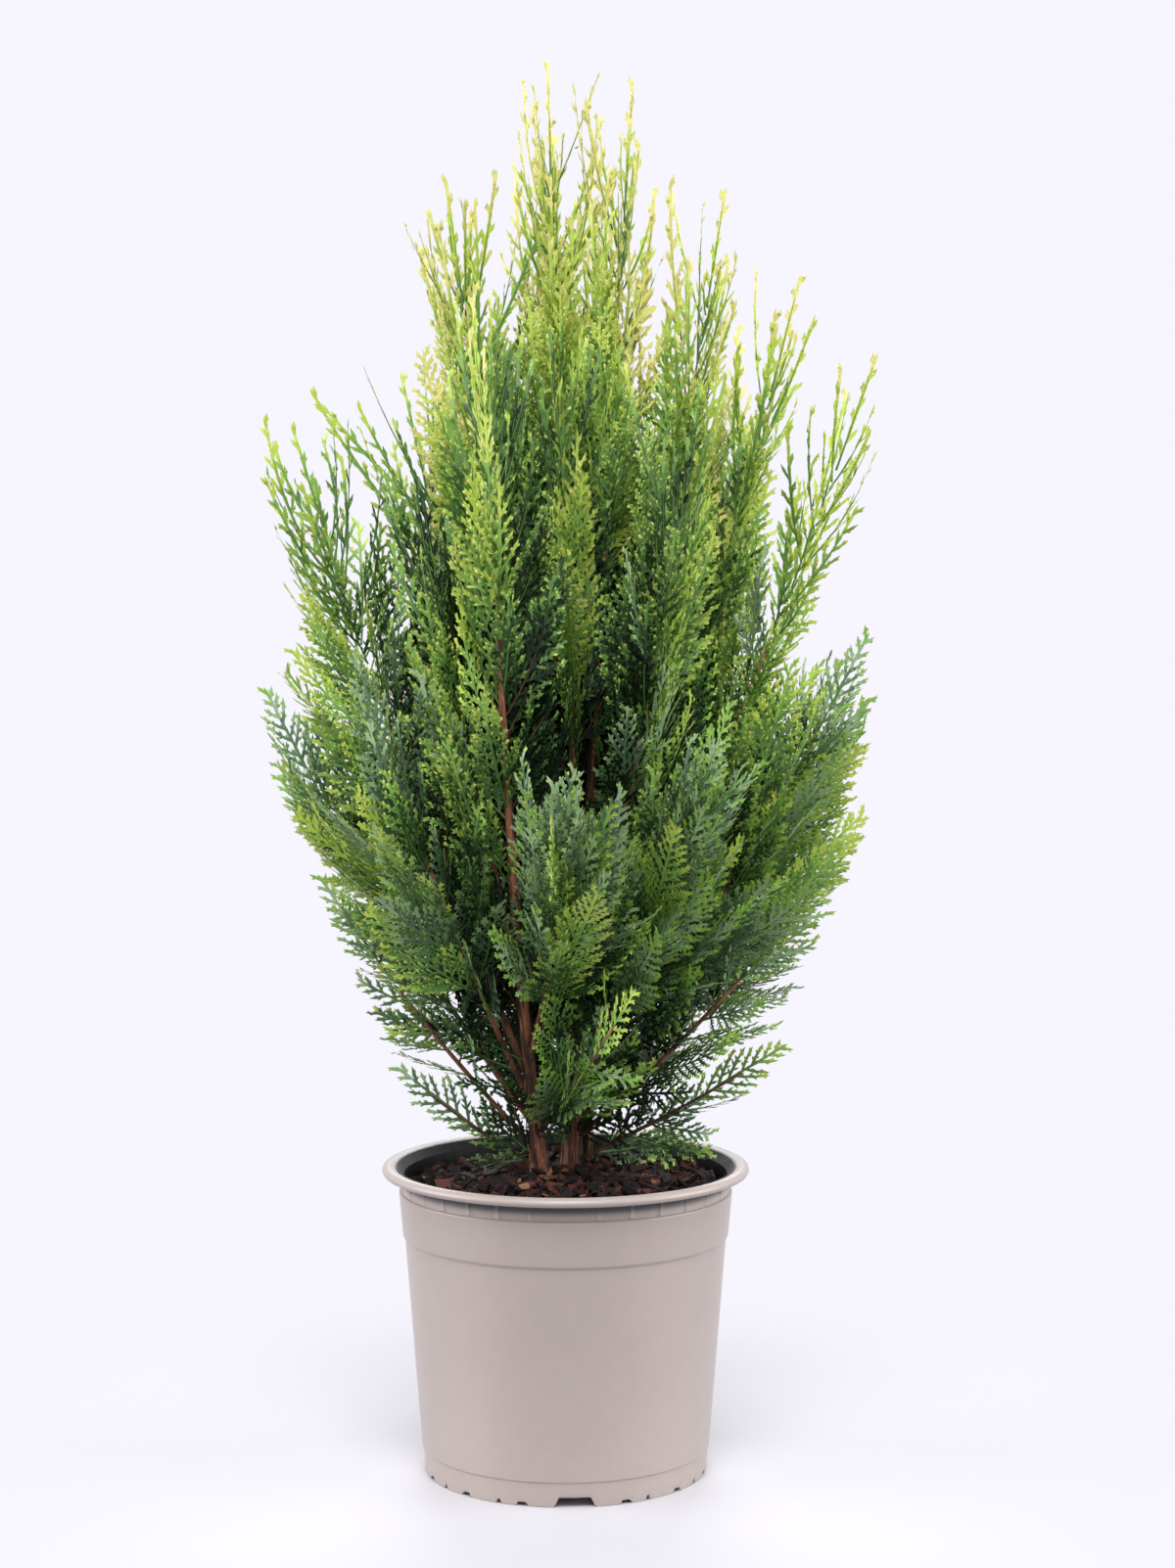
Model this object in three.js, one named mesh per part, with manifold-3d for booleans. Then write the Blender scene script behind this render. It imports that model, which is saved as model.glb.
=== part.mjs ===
// A potted false cypress: a clump of three stems in a tapered plastic nursery pot. Boughs leave the
// stems low down and rise outwards, and each ends in an upright plume of flat, toothed sprays.
// Millimetres, +Z up, the pot's underside at z = 0 and its axis on x = y = 0. The front faces -Y.
import * as THREE from 'three';
import { mergeVertices } from 'three/addons/utils/BufferGeometryUtils.js';
import Module from 'manifold-3d';

const wasm = await Module();
wasm.setup();

// Clear distance between pieces that touch on the real plant.
const GAP = 0.3;

// The pot: a round, tapered nursery pot with a rolled rim, a ribbed neck and a wider collar.
const POT = {
  height: 160,
  rimRadius: 95,
  rimWidth: 8,
  rimDepth: 4.6,
  neckRadius: 84.8,
  neckDepth: 9.4,
  collarTopRadius: 86.2,
  collarBottomRadius: 84.2,
  collarDepth: 23,
  collarStep: 1.1,
  footRadius: 73,
  footHeight: 12.5,
  footStep: 0.8,
  floorHeight: 6,
  wall: 1.6,
  segments: 28,
};
const WALL_BOTTOM_RADIUS = POT.footRadius + 2 * POT.footStep;
const NECK_TOP = POT.height - POT.rimDepth;
const COLLAR_TOP = NECK_TOP - POT.neckDepth;
const COLLAR_BOTTOM = COLLAR_TOP - POT.collarDepth;

// Drain notches round the foot: width at the floor, width at the top and height.
const NOTCH = {
  wide: { bottom: 21, top: 16, height: 5 },
  middle: { bottom: 6, top: 4.5, height: 2 },
  narrow: { bottom: 2.6, top: 1.2, height: 2.8 },
};
const NOTCH_REPEATS = 3;
const FIRST_NOTCH_DEG = -86;
const NOTCH_PATTERN = [
  [0, 'wide'], [21, 'middle'], [31, 'narrow'], [47, 'middle'],
  [60, 'narrow'], [73, 'middle'], [89, 'narrow'], [99, 'middle'],
];

// The soil fills the pot to just under the rim and is heaped a little round the stems.
const SOIL = { edgeDepth: 14, heap: 6, heapRadius: 34, heapFoot: 62 };
const SOIL_TOP = POT.height - SOIL.edgeDepth + SOIL.heap;

// Limits that the crown's sprays keep inside: half the width and depth, and how much of that the crown
// takes up at each height above the pot's underside. The low part of the crown sits a little to the right.
const CROWN = { halfWidth: 157, halfDepth: 148, lowShift: 8, shiftBelow: 420, shiftedBelow: 300 };
const CROWN_OUTLINE = [
  [166, 0.45], [205, 0.58], [242, 0.7], [290, 0.8], [340, 0.93],
  [380, 1], [560, 1], [620, 0.82], [665, 0.62], [722, 0.3],
];

// Limbs: how they bend and taper.
const LIMB = {
  stemRadius: 4.4,
  stemTaper: 1.9,
  flare: 1.35,
  flareHeight: 16,
  buried: 5,
  boughRadiusPerLength: 0.0036,
  boughRadiusMin: 0.9,
  boughTipShare: 0.62,
  stemSides: 8,
  boughSides: 5,
  rings: 4,
};

// Sprays: flat toothed blades set round each plume's own stem.
const SPRAY = {
  thickness: 2,
  halfWidthShare: 0.24,
  teeth: 3,
  firstTooth: 0.27,
  toothPitch: 0.25,
  valleyShift: 0.04,
  valleyShare: 0.42,
  sunk: 0.6,
  tipLength: 46,
  baseLeanDeg: 44,
  tipLeanDeg: 20,
  rollDeg: 6,
  tries: 9,
};
const PLUME_STEM_TIP_RADIUS = 0.7;
const MINGLE = 8;
const GOLDEN_TURN = Math.PI * (3 - Math.sqrt(5));

// Colours of the finishes. Foliage is gold on the highest plumes and darker on the lower ones.
const COLOUR = { pot: 0xb4a69d, soil: 0x2c1c16, bark: 0x6d4433 };
const FOLIAGE_COLOURS = [
  { above: 585, colour: 0x9db23c },
  { above: 490, colour: 0x5f8f35 },
  { above: 350, colour: 0x4f7f5c },
  { above: 0, colour: 0x2f5a38 },
];

// Stems that rise from the soil: foot on the soil, tip of the leading shoot, how far out the bend lies
// and what share of the length is bare of sprays.
const STEMS = [
  { name: 'left', foot: [-12, -6], tip: [-36, -68, 597], spread: 0.95, bare: 0.46, sprays: 11, reach: 86 },
  { name: 'middle', foot: [10, 22], tip: [-9, 5, 722], spread: 0.5, bare: 0.5, sprays: 13, reach: 92 },
  { name: 'right', foot: [2, 7], tip: [34, -5, 710], spread: 0.45, bare: 0.5, sprays: 13, reach: 92 },
];

// Boughs: the stem that carries each one, the height where it leaves that stem and the tip of its plume.
const BOUGHS = [
  { name: 'far_left', stem: 'left', at: 205, tip: [-140, 10, 539], bare: 0.3, sprays: 10, reach: 92 },
  { name: 'left_shoulder', stem: 'middle', at: 236, tip: [-61, 12, 664], bare: 0.36, sprays: 12, reach: 92 },
  { name: 'left_inner', stem: 'left', at: 252, tip: [-72, -48, 510], bare: 0.36, sprays: 8, reach: 82 },
  { name: 'left_low', stem: 'left', at: 190, tip: [-103, -66, 424], bare: 0.26, sprays: 9, reach: 92 },
  { name: 'left_outer', stem: 'left', at: 181, tip: [-153, -4, 404], bare: 0.3, sprays: 9, reach: 86 },
  { name: 'front', stem: 'right', at: 246, tip: [-2, -46, 588], bare: 0.36, sprays: 10, reach: 82 },
  { name: 'front_low', stem: 'left', at: 214, tip: [12, -130, 392], bare: 0.24, sprays: 9, reach: 92 },
  { name: 'right_inner', stem: 'right', at: 194, tip: [80, -97, 401], bare: 0.26, sprays: 9, reach: 92 },
  { name: 'right_front', stem: 'right', at: 219, tip: [67, -75, 555], bare: 0.32, sprays: 11, reach: 92 },
  { name: 'right_shoulder', stem: 'right', at: 268, tip: [82, 20, 660], bare: 0.36, sprays: 11, reach: 92 },
  { name: 'right_outer', stem: 'right', at: 236, tip: [121, 28, 616], bare: 0.34, sprays: 10, reach: 86 },
  { name: 'far_right', stem: 'right', at: 208, tip: [157, -12, 573], bare: 0.3, sprays: 11, reach: 92 },
  { name: 'right_low', stem: 'right', at: 182, tip: [155, 6, 432], bare: 0.28, sprays: 10, reach: 92 },
  { name: 'low_left', stem: 'left', at: 168, tip: [-124, -24, 310], bare: 0.3, sprays: 8, reach: 82 },
  { name: 'low_right', stem: 'right', at: 169, tip: [143, -16, 322], bare: 0.3, sprays: 8, reach: 82 },
  { name: 'back_high', stem: 'middle', at: 262, tip: [16, 62, 650], bare: 0.36, sprays: 11, reach: 92 },
  { name: 'back_left', stem: 'middle', at: 208, tip: [-88, 76, 570], bare: 0.32, sprays: 11, reach: 94 },
  { name: 'back_right', stem: 'right', at: 252, tip: [86, 84, 562], bare: 0.32, sprays: 10, reach: 94 },
  { name: 'back', stem: 'middle', at: 226, tip: [-4, 118, 528], bare: 0.32, sprays: 10, reach: 94 },
  { name: 'back_low_left', stem: 'middle', at: 182, tip: [-104, 92, 410], bare: 0.28, sprays: 10, reach: 94 },
  { name: 'back_low_right', stem: 'middle', at: 192, tip: [106, 94, 415], bare: 0.3, sprays: 10, reach: 94 },
  { name: 'back_low', stem: 'middle', at: 170, tip: [4, 140, 376], bare: 0.28, sprays: 9, reach: 92 },
];

// Low shoots that spread over the pot's rim, set straight on a stem.
const SKIRTS = [
  { name: 'skirt_left', stem: 'left', at: 158, tip: [-84, -34, 214], sprays: 7, reach: 72 },
  { name: 'skirt_right', stem: 'right', at: 158, tip: [112, -10, 222], sprays: 8, reach: 74 },
  { name: 'skirt_front', stem: 'left', at: 176, tip: [34, -98, 262], sprays: 7, reach: 72 },
  { name: 'skirt_back', stem: 'middle', at: 163, tip: [-14, 116, 250], sprays: 7, reach: 72 },
];

const BOUGH_SPREAD = 0.58;
const BOUGH_RISE = 0.48;
const SKIRT_SPREAD = 0.6;
const SKIRT_RISE = 0.52;

const UP = new THREE.Vector3(0, 0, 1);
const { lerp, degToRad, smoothstep } = THREE.MathUtils;

// A repeatable stream of numbers from 0 to 1.
function seeded(seed) {
  let state = seed >>> 0;
  return () => {
    state = (state + 0x6d2b79f5) >>> 0;
    let mixed = Math.imul(state ^ (state >>> 15), state | 1);
    mixed ^= mixed + Math.imul(mixed ^ (mixed >>> 7), mixed | 61);
    return ((mixed ^ (mixed >>> 14)) >>> 0) / 4294967296;
  };
}

// A closed geometry as a solid that can be joined and cut.
function solidOf(geometry) {
  const bare = geometry.clone();
  bare.deleteAttribute('normal');
  bare.deleteAttribute('uv');
  const merged = mergeVertices(bare, 1e-4);
  return new wasm.Manifold(new wasm.Mesh({
    numProp: 3,
    vertProperties: merged.attributes.position.array,
    triVerts: new Uint32Array(merged.index.array),
  }));
}

// A solid as a geometry, with flat facets.
function geometryOf(solid) {
  const mesh = solid.getMesh();
  const geometry = new THREE.BufferGeometry();
  geometry.setAttribute('position', new THREE.BufferAttribute(mesh.vertProperties, 3));
  geometry.setIndex(new THREE.BufferAttribute(mesh.triVerts, 1));
  const faceted = geometry.toNonIndexed();
  faceted.computeVertexNormals();
  return faceted;
}

// The largest single body of a solid, without loose scraps.
function largestBody(solid) {
  return solid.decompose().reduce((best, body) => (body.volume() > best.volume() ? body : best));
}

// A profile of [radius, height] pairs turned about the Z axis.
function turned(profile, segments) {
  const points = profile.map(([radius, height]) => new THREE.Vector2(radius, height));
  return new THREE.LatheGeometry(points, segments).rotateX(Math.PI / 2);
}

// Pot

function potProfile() {
  const inside = (radius) => radius - POT.wall;
  const lipInner = POT.rimRadius - POT.rimWidth;
  return [
    [0, POT.floorHeight - POT.wall],
    [POT.footRadius - 2 * POT.wall, POT.floorHeight - POT.wall],
    [POT.footRadius - 1.5 * POT.wall, 0],
    [POT.footRadius, 0],
    [POT.footRadius + POT.footStep, POT.footHeight],
    [WALL_BOTTOM_RADIUS, POT.footHeight + 0.6],
    [POT.collarBottomRadius - POT.collarStep, COLLAR_BOTTOM - 1],
    [POT.collarBottomRadius, COLLAR_BOTTOM + 0.4],
    [POT.collarTopRadius, COLLAR_TOP],
    [POT.neckRadius, COLLAR_TOP + 0.6],
    [POT.neckRadius + 0.6, NECK_TOP],
    [POT.rimRadius - 1.6, NECK_TOP],
    [POT.rimRadius, NECK_TOP + 2.2],
    [POT.rimRadius - 0.8, POT.height - 1.8],
    [POT.rimRadius - 3.4, POT.height],
    [lipInner + 1.2, POT.height - 1],
    [inside(POT.neckRadius + 1.2), NECK_TOP - 1],
    [inside(POT.collarTopRadius - 0.8), COLLAR_TOP],
    [inside(POT.collarBottomRadius), COLLAR_BOTTOM + 1.4],
    [inside(POT.collarBottomRadius - POT.collarStep), COLLAR_BOTTOM],
    [inside(WALL_BOTTOM_RADIUS), POT.floorHeight],
    [0, POT.floorHeight],
  ];
}

// One drain notch: a prism with sloping ends that passes through the foot at the given bearing.
function notchSolid({ bottom, top, height }, bearing) {
  const outline = new THREE.Shape([
    new THREE.Vector2(-bottom / 2, -1),
    new THREE.Vector2(bottom / 2, -1),
    new THREE.Vector2(bottom / 2, 0),
    new THREE.Vector2(top / 2, height),
    new THREE.Vector2(-top / 2, height),
    new THREE.Vector2(-bottom / 2, 0),
  ]);
  const depth = 4 * POT.wall + 4;
  const prism = new THREE.ExtrudeGeometry(outline, { depth, bevelEnabled: false });
  prism.rotateX(Math.PI / 2);
  prism.translate(0, POT.footRadius + depth / 2 - POT.wall, 0);
  prism.rotateZ(bearing - Math.PI / 2);
  return solidOf(prism);
}

function potSolid() {
  const notches = [];
  for (let repeat = 0; repeat < NOTCH_REPEATS; repeat += 1) {
    for (const [offset, kind] of NOTCH_PATTERN) {
      const bearing = degToRad(FIRST_NOTCH_DEG + offset + (repeat * 360) / NOTCH_REPEATS);
      notches.push(notchSolid(NOTCH[kind], bearing));
    }
  }
  return solidOf(turned(potProfile(), POT.segments)).subtract(wasm.Manifold.union(notches));
}

// Soil

function soilSolid() {
  const clear = POT.wall + GAP;
  const edgeTop = POT.height - SOIL.edgeDepth;
  return solidOf(turned([
    [0, POT.floorHeight + GAP],
    [WALL_BOTTOM_RADIUS - clear, POT.floorHeight + GAP],
    [POT.collarBottomRadius - POT.collarStep - clear, COLLAR_BOTTOM],
    [POT.collarBottomRadius - clear, edgeTop],
    [SOIL.heapFoot, edgeTop + 0.3 * SOIL.heap],
    [SOIL.heapRadius, SOIL_TOP],
    [0, SOIL_TOP],
  ], POT.segments));
}

// Paths and limbs

// A path in one upright plane that leaves its root outwards and turns up towards its tip.
function risingPath(root, tip, spread, rise) {
  const bend = new THREE.Vector3(
    lerp(root.x, tip.x, spread),
    lerp(root.y, tip.y, spread),
    lerp(root.z, tip.z, rise),
  );
  const curve = new THREE.QuadraticBezierCurve3(root, bend, tip);
  const outward = new THREE.Vector3(tip.x - root.x, tip.y - root.y, 0).normalize();
  return { curve, side: new THREE.Vector3().crossVectors(outward, UP), length: curve.getLength() };
}

// The direction of a path and two directions square to it.
function frameAt(path, share) {
  const along = path.curve.getTangentAt(share);
  return { along, side: path.side, face: new THREE.Vector3().crossVectors(path.side, along) };
}

// A tapering limb along part of a path: a turned profile whose axis is bent to follow the path.
function limbSolid(path, start, end, radiusAt, sides) {
  const profile = [[0, start]];
  for (let ring = 0; ring <= LIMB.rings; ring += 1) {
    const share = lerp(start, end, (ring / LIMB.rings) ** 1.25);
    profile.push([radiusAt(share), share]);
  }
  profile.push([0, end]);
  const geometry = turned(profile, sides);
  const position = geometry.getAttribute('position');
  const point = new THREE.Vector3();
  for (let i = 0; i < position.count; i += 1) {
    point.fromBufferAttribute(position, i);
    const share = THREE.MathUtils.clamp(point.z, 0, 1);
    const { side, face } = frameAt(path, share);
    const centre = path.curve.getPointAt(share);
    centre.addScaledVector(side, point.x).addScaledVector(face, point.y);
    position.setXYZ(i, centre.x, centre.y, centre.z);
  }
  const limb = solidOf(geometry);
  if (limb.volume() > 0) return limb;
  geometry.index.array.reverse();
  return solidOf(geometry);
}

// A stem's radius: an even taper with a flare at the soil.
function stemRadius(path, grow = 0) {
  return (share) => {
    const taper = LIMB.stemRadius * Math.exp(-LIMB.stemTaper * share);
    const flare = (LIMB.flare - 1) * Math.exp((-share * path.length) / LIMB.flareHeight);
    return taper * (1 + flare) + grow;
  };
}

// A bough's radius: thicker on a longer bough.
function boughRadius(path) {
  const root = LIMB.boughRadiusMin + LIMB.boughRadiusPerLength * path.length * 0.8;
  return (share) => root * lerp(1, LIMB.boughTipShare, share);
}

// The point of a stem's axis at a height.
function pointAtHeight(path, height) {
  let low = 0;
  let high = 1;
  for (let step = 0; step < 40; step += 1) {
    const middle = (low + high) / 2;
    if (path.curve.getPointAt(middle).z < height) low = middle;
    else high = middle;
  }
  return path.curve.getPointAt(low);
}

// Foliage

// One edge of a spray's outline, from root to tip, as shares of its length.
function sprayEdge(halfWidth) {
  const edge = [];
  for (let tooth = 0; tooth < SPRAY.teeth; tooth += 1) {
    const along = SPRAY.firstTooth + tooth * SPRAY.toothPitch;
    const shrink = 1 - 0.25 * tooth;
    edge.push([along, halfWidth * shrink]);
    edge.push([along + SPRAY.valleyShift, halfWidth * SPRAY.valleyShare * shrink]);
  }
  return edge;
}

// The outline of one spray, pointing along +X from its root, with forward-pointing teeth on each side.
// Where it stands close to its stem, the side that faces the stem is slimmer and stays off it.
function sprayOutline(length, lean) {
  const room = (SPRAY.firstTooth * Math.sin(lean) - 0.015) / Math.cos(lean);
  const inner = sprayEdge(Math.min(SPRAY.halfWidthShare, room)).reverse();
  const outer = sprayEdge(SPRAY.halfWidthShare).map(([along, across]) => [along, -across]);
  const outline = [[-SPRAY.sunk / length, 0], ...outer, [1, 0], ...inner];
  return outline.map(([along, across]) => new THREE.Vector3(along * length, across * length, 0));
}

// A spray as a thin pillow on its outline, thickest behind the first teeth.
function sprayGeometry(outline, length, thickness) {
  const middle = (SPRAY.firstTooth + SPRAY.valleyShift) * length;
  const corners = [
    ...outline,
    new THREE.Vector3(middle, 0, thickness / 2),
    new THREE.Vector3(middle, 0, -thickness / 2),
  ];
  const count = outline.length;
  const faces = [];
  for (let i = 0; i < count; i += 1) {
    const next = (i + 1) % count;
    faces.push(count, i, next);
    faces.push(count + 1, next, i);
  }
  const geometry = new THREE.BufferGeometry().setFromPoints(corners);
  geometry.setIndex(faces);
  return geometry;
}

// The placing of a spray: it runs along one direction from its root and lies flat to another.
function sprayPlacing(root, along, flat) {
  const across = new THREE.Vector3().crossVectors(flat, along).normalize();
  const normal = new THREE.Vector3().crossVectors(along, across);
  return new THREE.Matrix4().makeBasis(along, across, normal).setPosition(root);
}

// How long a spray is along its plume: short at the foot, longest low down, slim at the top.
function sprayLength(reach, share) {
  const swell = 0.62 + 0.5 * Math.sin(Math.PI * Math.min(1, 0.2 + 0.95 * share));
  return reach * Math.min(1, swell) * lerp(1, 0.72, share);
}

// Sample points along the leafy part of a path.
function leafyPoints(plume) {
  const points = [];
  for (let i = 0; i <= 16; i += 1) {
    points.push(plume.path.curve.getPointAt(lerp(plume.bare, 1, i / 16)));
  }
  return points;
}

const nearest = (points, target) => Math.min(...points.map((point) => point.distanceTo(target)));

// The share of the crown's full width that is taken up at a height; none below the lowest sprays.
function crownShare(height) {
  const above = CROWN_OUTLINE.findIndex(([level]) => level >= height);
  if (above < 1) return 0;
  const [lowLevel, lowShare] = CROWN_OUTLINE[above - 1];
  const [highLevel, highShare] = CROWN_OUTLINE[above];
  return lerp(lowShare, highShare, (height - lowLevel) / (highLevel - lowLevel));
}

// Whether every point lies in the crown and in its own plume's space: nearer to that plume's stem than to
// any other's, but for a little mingling at the edges.
function keepsItsSpace(points, plume, plumes) {
  return points.every((point) => {
    const shift = CROWN.lowShift * (1 - smoothstep(point.z, CROWN.shiftedBelow, CROWN.shiftBelow));
    const reach = Math.hypot((point.x - shift) / CROWN.halfWidth, point.y / CROWN.halfDepth);
    if (reach > crownShare(point.z)) return false;
    const own = nearest(plume.points, point);
    return plumes.every((other) => other === plume || nearest(other.points, point) > own - MINGLE);
  });
}

// One plume: its own thin stem with sprays round it and one at its tip, fused, clear of all else.
function plumeSolid(plume, plumes, placed, seed) {
  const random = seeded(seed);
  const { path, bare } = plume;
  const start = bare + GAP / path.length;
  const tipLength = Math.min(SPRAY.tipLength, 0.3 * path.length * (1 - bare));
  const end = 1 - (0.8 * tipLength) / path.length;
  const stemAt = (share) => lerp(plume.stemRadius, PLUME_STEM_TIP_RADIUS, (share - start) / (end - start));
  const stem = limbSolid(path, start, end, stemAt, 3);
  const sprays = [];
  const isClear = (solid) => {
    return [...placed, ...sprays].every((other) => solid.intersect(other).isEmpty());
  };
  const setSpray = (length, lean, placing, tested) => {
    const outline = sprayOutline(length, lean);
    const sprayed = (thickness) => {
      return solidOf(sprayGeometry(outline, length, thickness).applyMatrix4(placing));
    };
    const corners = outline.slice(1).map((corner) => corner.clone().applyMatrix4(placing));
    if (tested && !keepsItsSpace(corners, plume, plumes)) return false;
    if (tested && !isClear(sprayed(SPRAY.thickness + 4 * GAP))) return false;
    sprays.push(sprayed(SPRAY.thickness));
    return true;
  };
  const tip = frameAt(path, (end + 1) / 2);
  const tipRoot = path.curve.getPointAt(1).addScaledVector(tip.along, -tipLength);
  setSpray(tipLength, degToRad(SPRAY.tipLeanDeg), sprayPlacing(tipRoot, tip.along, tip.face), false);
  for (let i = 0; i < plume.sprays; i += 1) {
    const share = (i + 0.35) / plume.sprays;
    const at = lerp(start + 0.02, end - 0.02, share);
    const { along, side, face } = frameAt(path, at);
    const root = path.curve.getPointAt(at);
    const lean = degToRad(lerp(SPRAY.baseLeanDeg, SPRAY.tipLeanDeg, share ** 0.8));
    const firstTurn = i * GOLDEN_TURN + seed + 0.5 * random();
    const roll = degToRad(SPRAY.rollDeg) * (2 * random() - 1);
    const fullLength = sprayLength(plume.reach, share) * lerp(0.9, 1.1, random());
    for (let attempt = 0; attempt < SPRAY.tries; attempt += 1) {
      const turn = firstTurn + attempt * 1.1;
      const out = side.clone().multiplyScalar(Math.cos(turn)).addScaledVector(face, Math.sin(turn));
      const heading = along.clone().multiplyScalar(Math.cos(lean)).addScaledVector(out, Math.sin(lean));
      const flat = new THREE.Vector3().crossVectors(heading, along).normalize();
      flat.applyAxisAngle(heading, roll);
      const length = fullLength * (1 - 0.07 * attempt);
      if (setSpray(length, lean, sprayPlacing(root, heading, flat), true)) break;
    }
  }
  return largestBody(wasm.Manifold.union([stem, ...sprays]).subtract(allStemClearance));
}

// Assembly

const part = new THREE.Group();

function addPiece(name, solid, colour, roughness) {
  const material = new THREE.MeshStandardMaterial({ color: colour, roughness, metalness: 0 });
  const mesh = new THREE.Mesh(geometryOf(solid), material);
  mesh.name = name;
  part.add(mesh);
}

const pot = potSolid();
const soil = soilSolid();
addPiece('pot', pot, COLOUR.pot, 0.45);
addPiece('soil', soil, COLOUR.soil, 0.95);

const stemPaths = {};
const limbs = [];
const plumes = [];

// The ground that the stems are cut off flat against.
const ground = solidOf(new THREE.BoxGeometry(200, 200, 40).translate(0, 0, SOIL_TOP + GAP - 20));

for (const stem of STEMS) {
  const root = new THREE.Vector3(...stem.foot, SOIL_TOP - LIMB.buried);
  const path = risingPath(root, new THREE.Vector3(...stem.tip), stem.spread, 0.5);
  stemPaths[stem.name] = path;
  const radiusAt = stemRadius(path);
  const whole = limbSolid(path, 0, stem.bare, radiusAt, LIMB.stemSides);
  limbs.push({ name: `stem_${stem.name}`, solid: whole.subtract(ground) });
  plumes.push({ ...stem, path, stemRadius: radiusAt(stem.bare) * 0.85 });
}

// Each stem as it is cut out of what grows from it, a gap wider all round.
const stemClearance = {};
for (const stem of STEMS) {
  const path = stemPaths[stem.name];
  stemClearance[stem.name] = limbSolid(path, 0, stem.bare, stemRadius(path, GAP), LIMB.stemSides);
}
const allStemClearance = wasm.Manifold.union(Object.values(stemClearance));

for (const bough of BOUGHS) {
  const root = pointAtHeight(stemPaths[bough.stem], bough.at);
  const path = risingPath(root, new THREE.Vector3(...bough.tip), BOUGH_SPREAD, BOUGH_RISE);
  const radiusAt = boughRadius(path);
  const whole = limbSolid(path, 0, bough.bare, radiusAt, LIMB.boughSides);
  limbs.push({ name: `bough_${bough.name}`, solid: largestBody(whole.subtract(allStemClearance)) });
  plumes.push({ ...bough, path, stemRadius: radiusAt(bough.bare) * 0.85 });
}

// A low shoot has no bough: its own stem is cut off just clear of the stem that carries it.
for (const skirt of SKIRTS) {
  const root = pointAtHeight(stemPaths[skirt.stem], skirt.at);
  const path = risingPath(root, new THREE.Vector3(...skirt.tip), SKIRT_SPREAD, SKIRT_RISE);
  plumes.push({ ...skirt, path, bare: 0, stemRadius: 1.5 });
}

for (const limb of limbs) addPiece(limb.name, limb.solid, COLOUR.bark, 0.9);
for (const plume of plumes) plume.points = leafyPoints(plume);

const placed = [pot, soil, ...limbs.map((limb) => limb.solid)];
plumes.forEach((plume, index) => {
  const solid = plumeSolid(plume, plumes, placed, index + 1);
  placed.push(solid);
  const { colour } = FOLIAGE_COLOURS.find(({ above }) => plume.tip[2] > above);
  addPiece(`plume_${plume.name}`, solid, colour, 0.7);
});

export default part;
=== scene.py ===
"""Looks of a potted false cypress: pot, mulch, barked limbs and a crown of scale-leaf sprays.

Metres, +Z up, the pot's underside at z = 0 and its axis on x = y = 0. The front faces -Y.
"""

from __future__ import annotations

import logging
import math
from dataclasses import dataclass, field
from enum import Enum
from typing import Sequence

import bpy
import numpy as np
from bpy.types import Material, Node, NodeSocket, NodeTree, Object
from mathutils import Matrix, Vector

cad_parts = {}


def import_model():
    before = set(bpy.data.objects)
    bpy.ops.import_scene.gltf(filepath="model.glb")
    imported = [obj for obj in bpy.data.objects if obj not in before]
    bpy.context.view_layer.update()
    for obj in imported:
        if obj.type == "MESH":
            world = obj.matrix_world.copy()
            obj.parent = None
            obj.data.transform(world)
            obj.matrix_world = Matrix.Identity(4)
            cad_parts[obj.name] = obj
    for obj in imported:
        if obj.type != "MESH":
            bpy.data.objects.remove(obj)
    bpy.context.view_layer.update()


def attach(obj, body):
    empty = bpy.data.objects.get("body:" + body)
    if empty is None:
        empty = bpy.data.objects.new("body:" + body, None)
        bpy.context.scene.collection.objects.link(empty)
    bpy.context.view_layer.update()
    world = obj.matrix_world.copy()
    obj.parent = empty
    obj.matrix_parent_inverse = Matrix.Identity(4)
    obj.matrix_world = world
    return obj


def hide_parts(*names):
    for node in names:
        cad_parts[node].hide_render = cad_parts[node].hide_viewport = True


Array = np.ndarray
Band = tuple[float, float]
Colour = tuple[float, float, float]
Random = np.random.Generator
LOG = logging.getLogger("potted_false_cypress")
BODY = "root"
UP = np.array([0.0, 0.0, 1.0])
FULL_TURN = 2 * math.pi
GOLDEN_TURN = math.pi * (3.0 - math.sqrt(5.0))
MOST_TRIANGLES = 190_000


# Small tools for arrays


def unit(vectors: Array) -> Array:
    """Scale vectors along the last axis to length one."""
    return vectors / np.maximum(np.linalg.norm(vectors, axis=-1, keepdims=True), 1e-12)


def lerp(start: Array | float, end: Array | float, share: Array | float) -> Array | float:
    """Give the value that lies at a share of the way from start to end."""
    return start + (end - start) * share


def smoothstep(band: Band, value: Array | float) -> Array:
    """Rise smoothly from 0 at a band's first value to 1 at its second."""
    share = np.clip((value - band[0]) / (band[1] - band[0]), 0.0, 1.0)
    return share * share * (3.0 - 2.0 * share)


def linear(colour: tuple[int, int, int]) -> Colour:
    """Turn an eight-bit screen colour into linear light."""
    shares = (channel / 255.0 for channel in colour)
    return tuple(s / 12.92 if s <= 0.04045 else ((s + 0.055) / 1.055) ** 2.4 for s in shares)


def rgba(colour: Colour) -> tuple[float, float, float, float]:
    """Give a colour with full alpha."""
    return (*colour, 1.0)


def bearings(count: int) -> Array:
    """Give evenly spaced bearings all round an axis."""
    return np.linspace(0.0, FULL_TURN, count, endpoint=False)


def polar(radius: Array | float, bearing: Array, height: Array | float) -> Array:
    """Give the points at radii, bearings and heights about the pot's axis."""
    places = np.broadcast_arrays(radius * np.cos(bearing), radius * np.sin(bearing), height)
    return np.stack(places, axis=-1)


def swung(angle: Array, first: Array, second: Array) -> Array:
    """Give the directions at angles from a first one towards a second one."""
    return np.cos(angle)[..., None] * first + np.sin(angle)[..., None] * second


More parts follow.
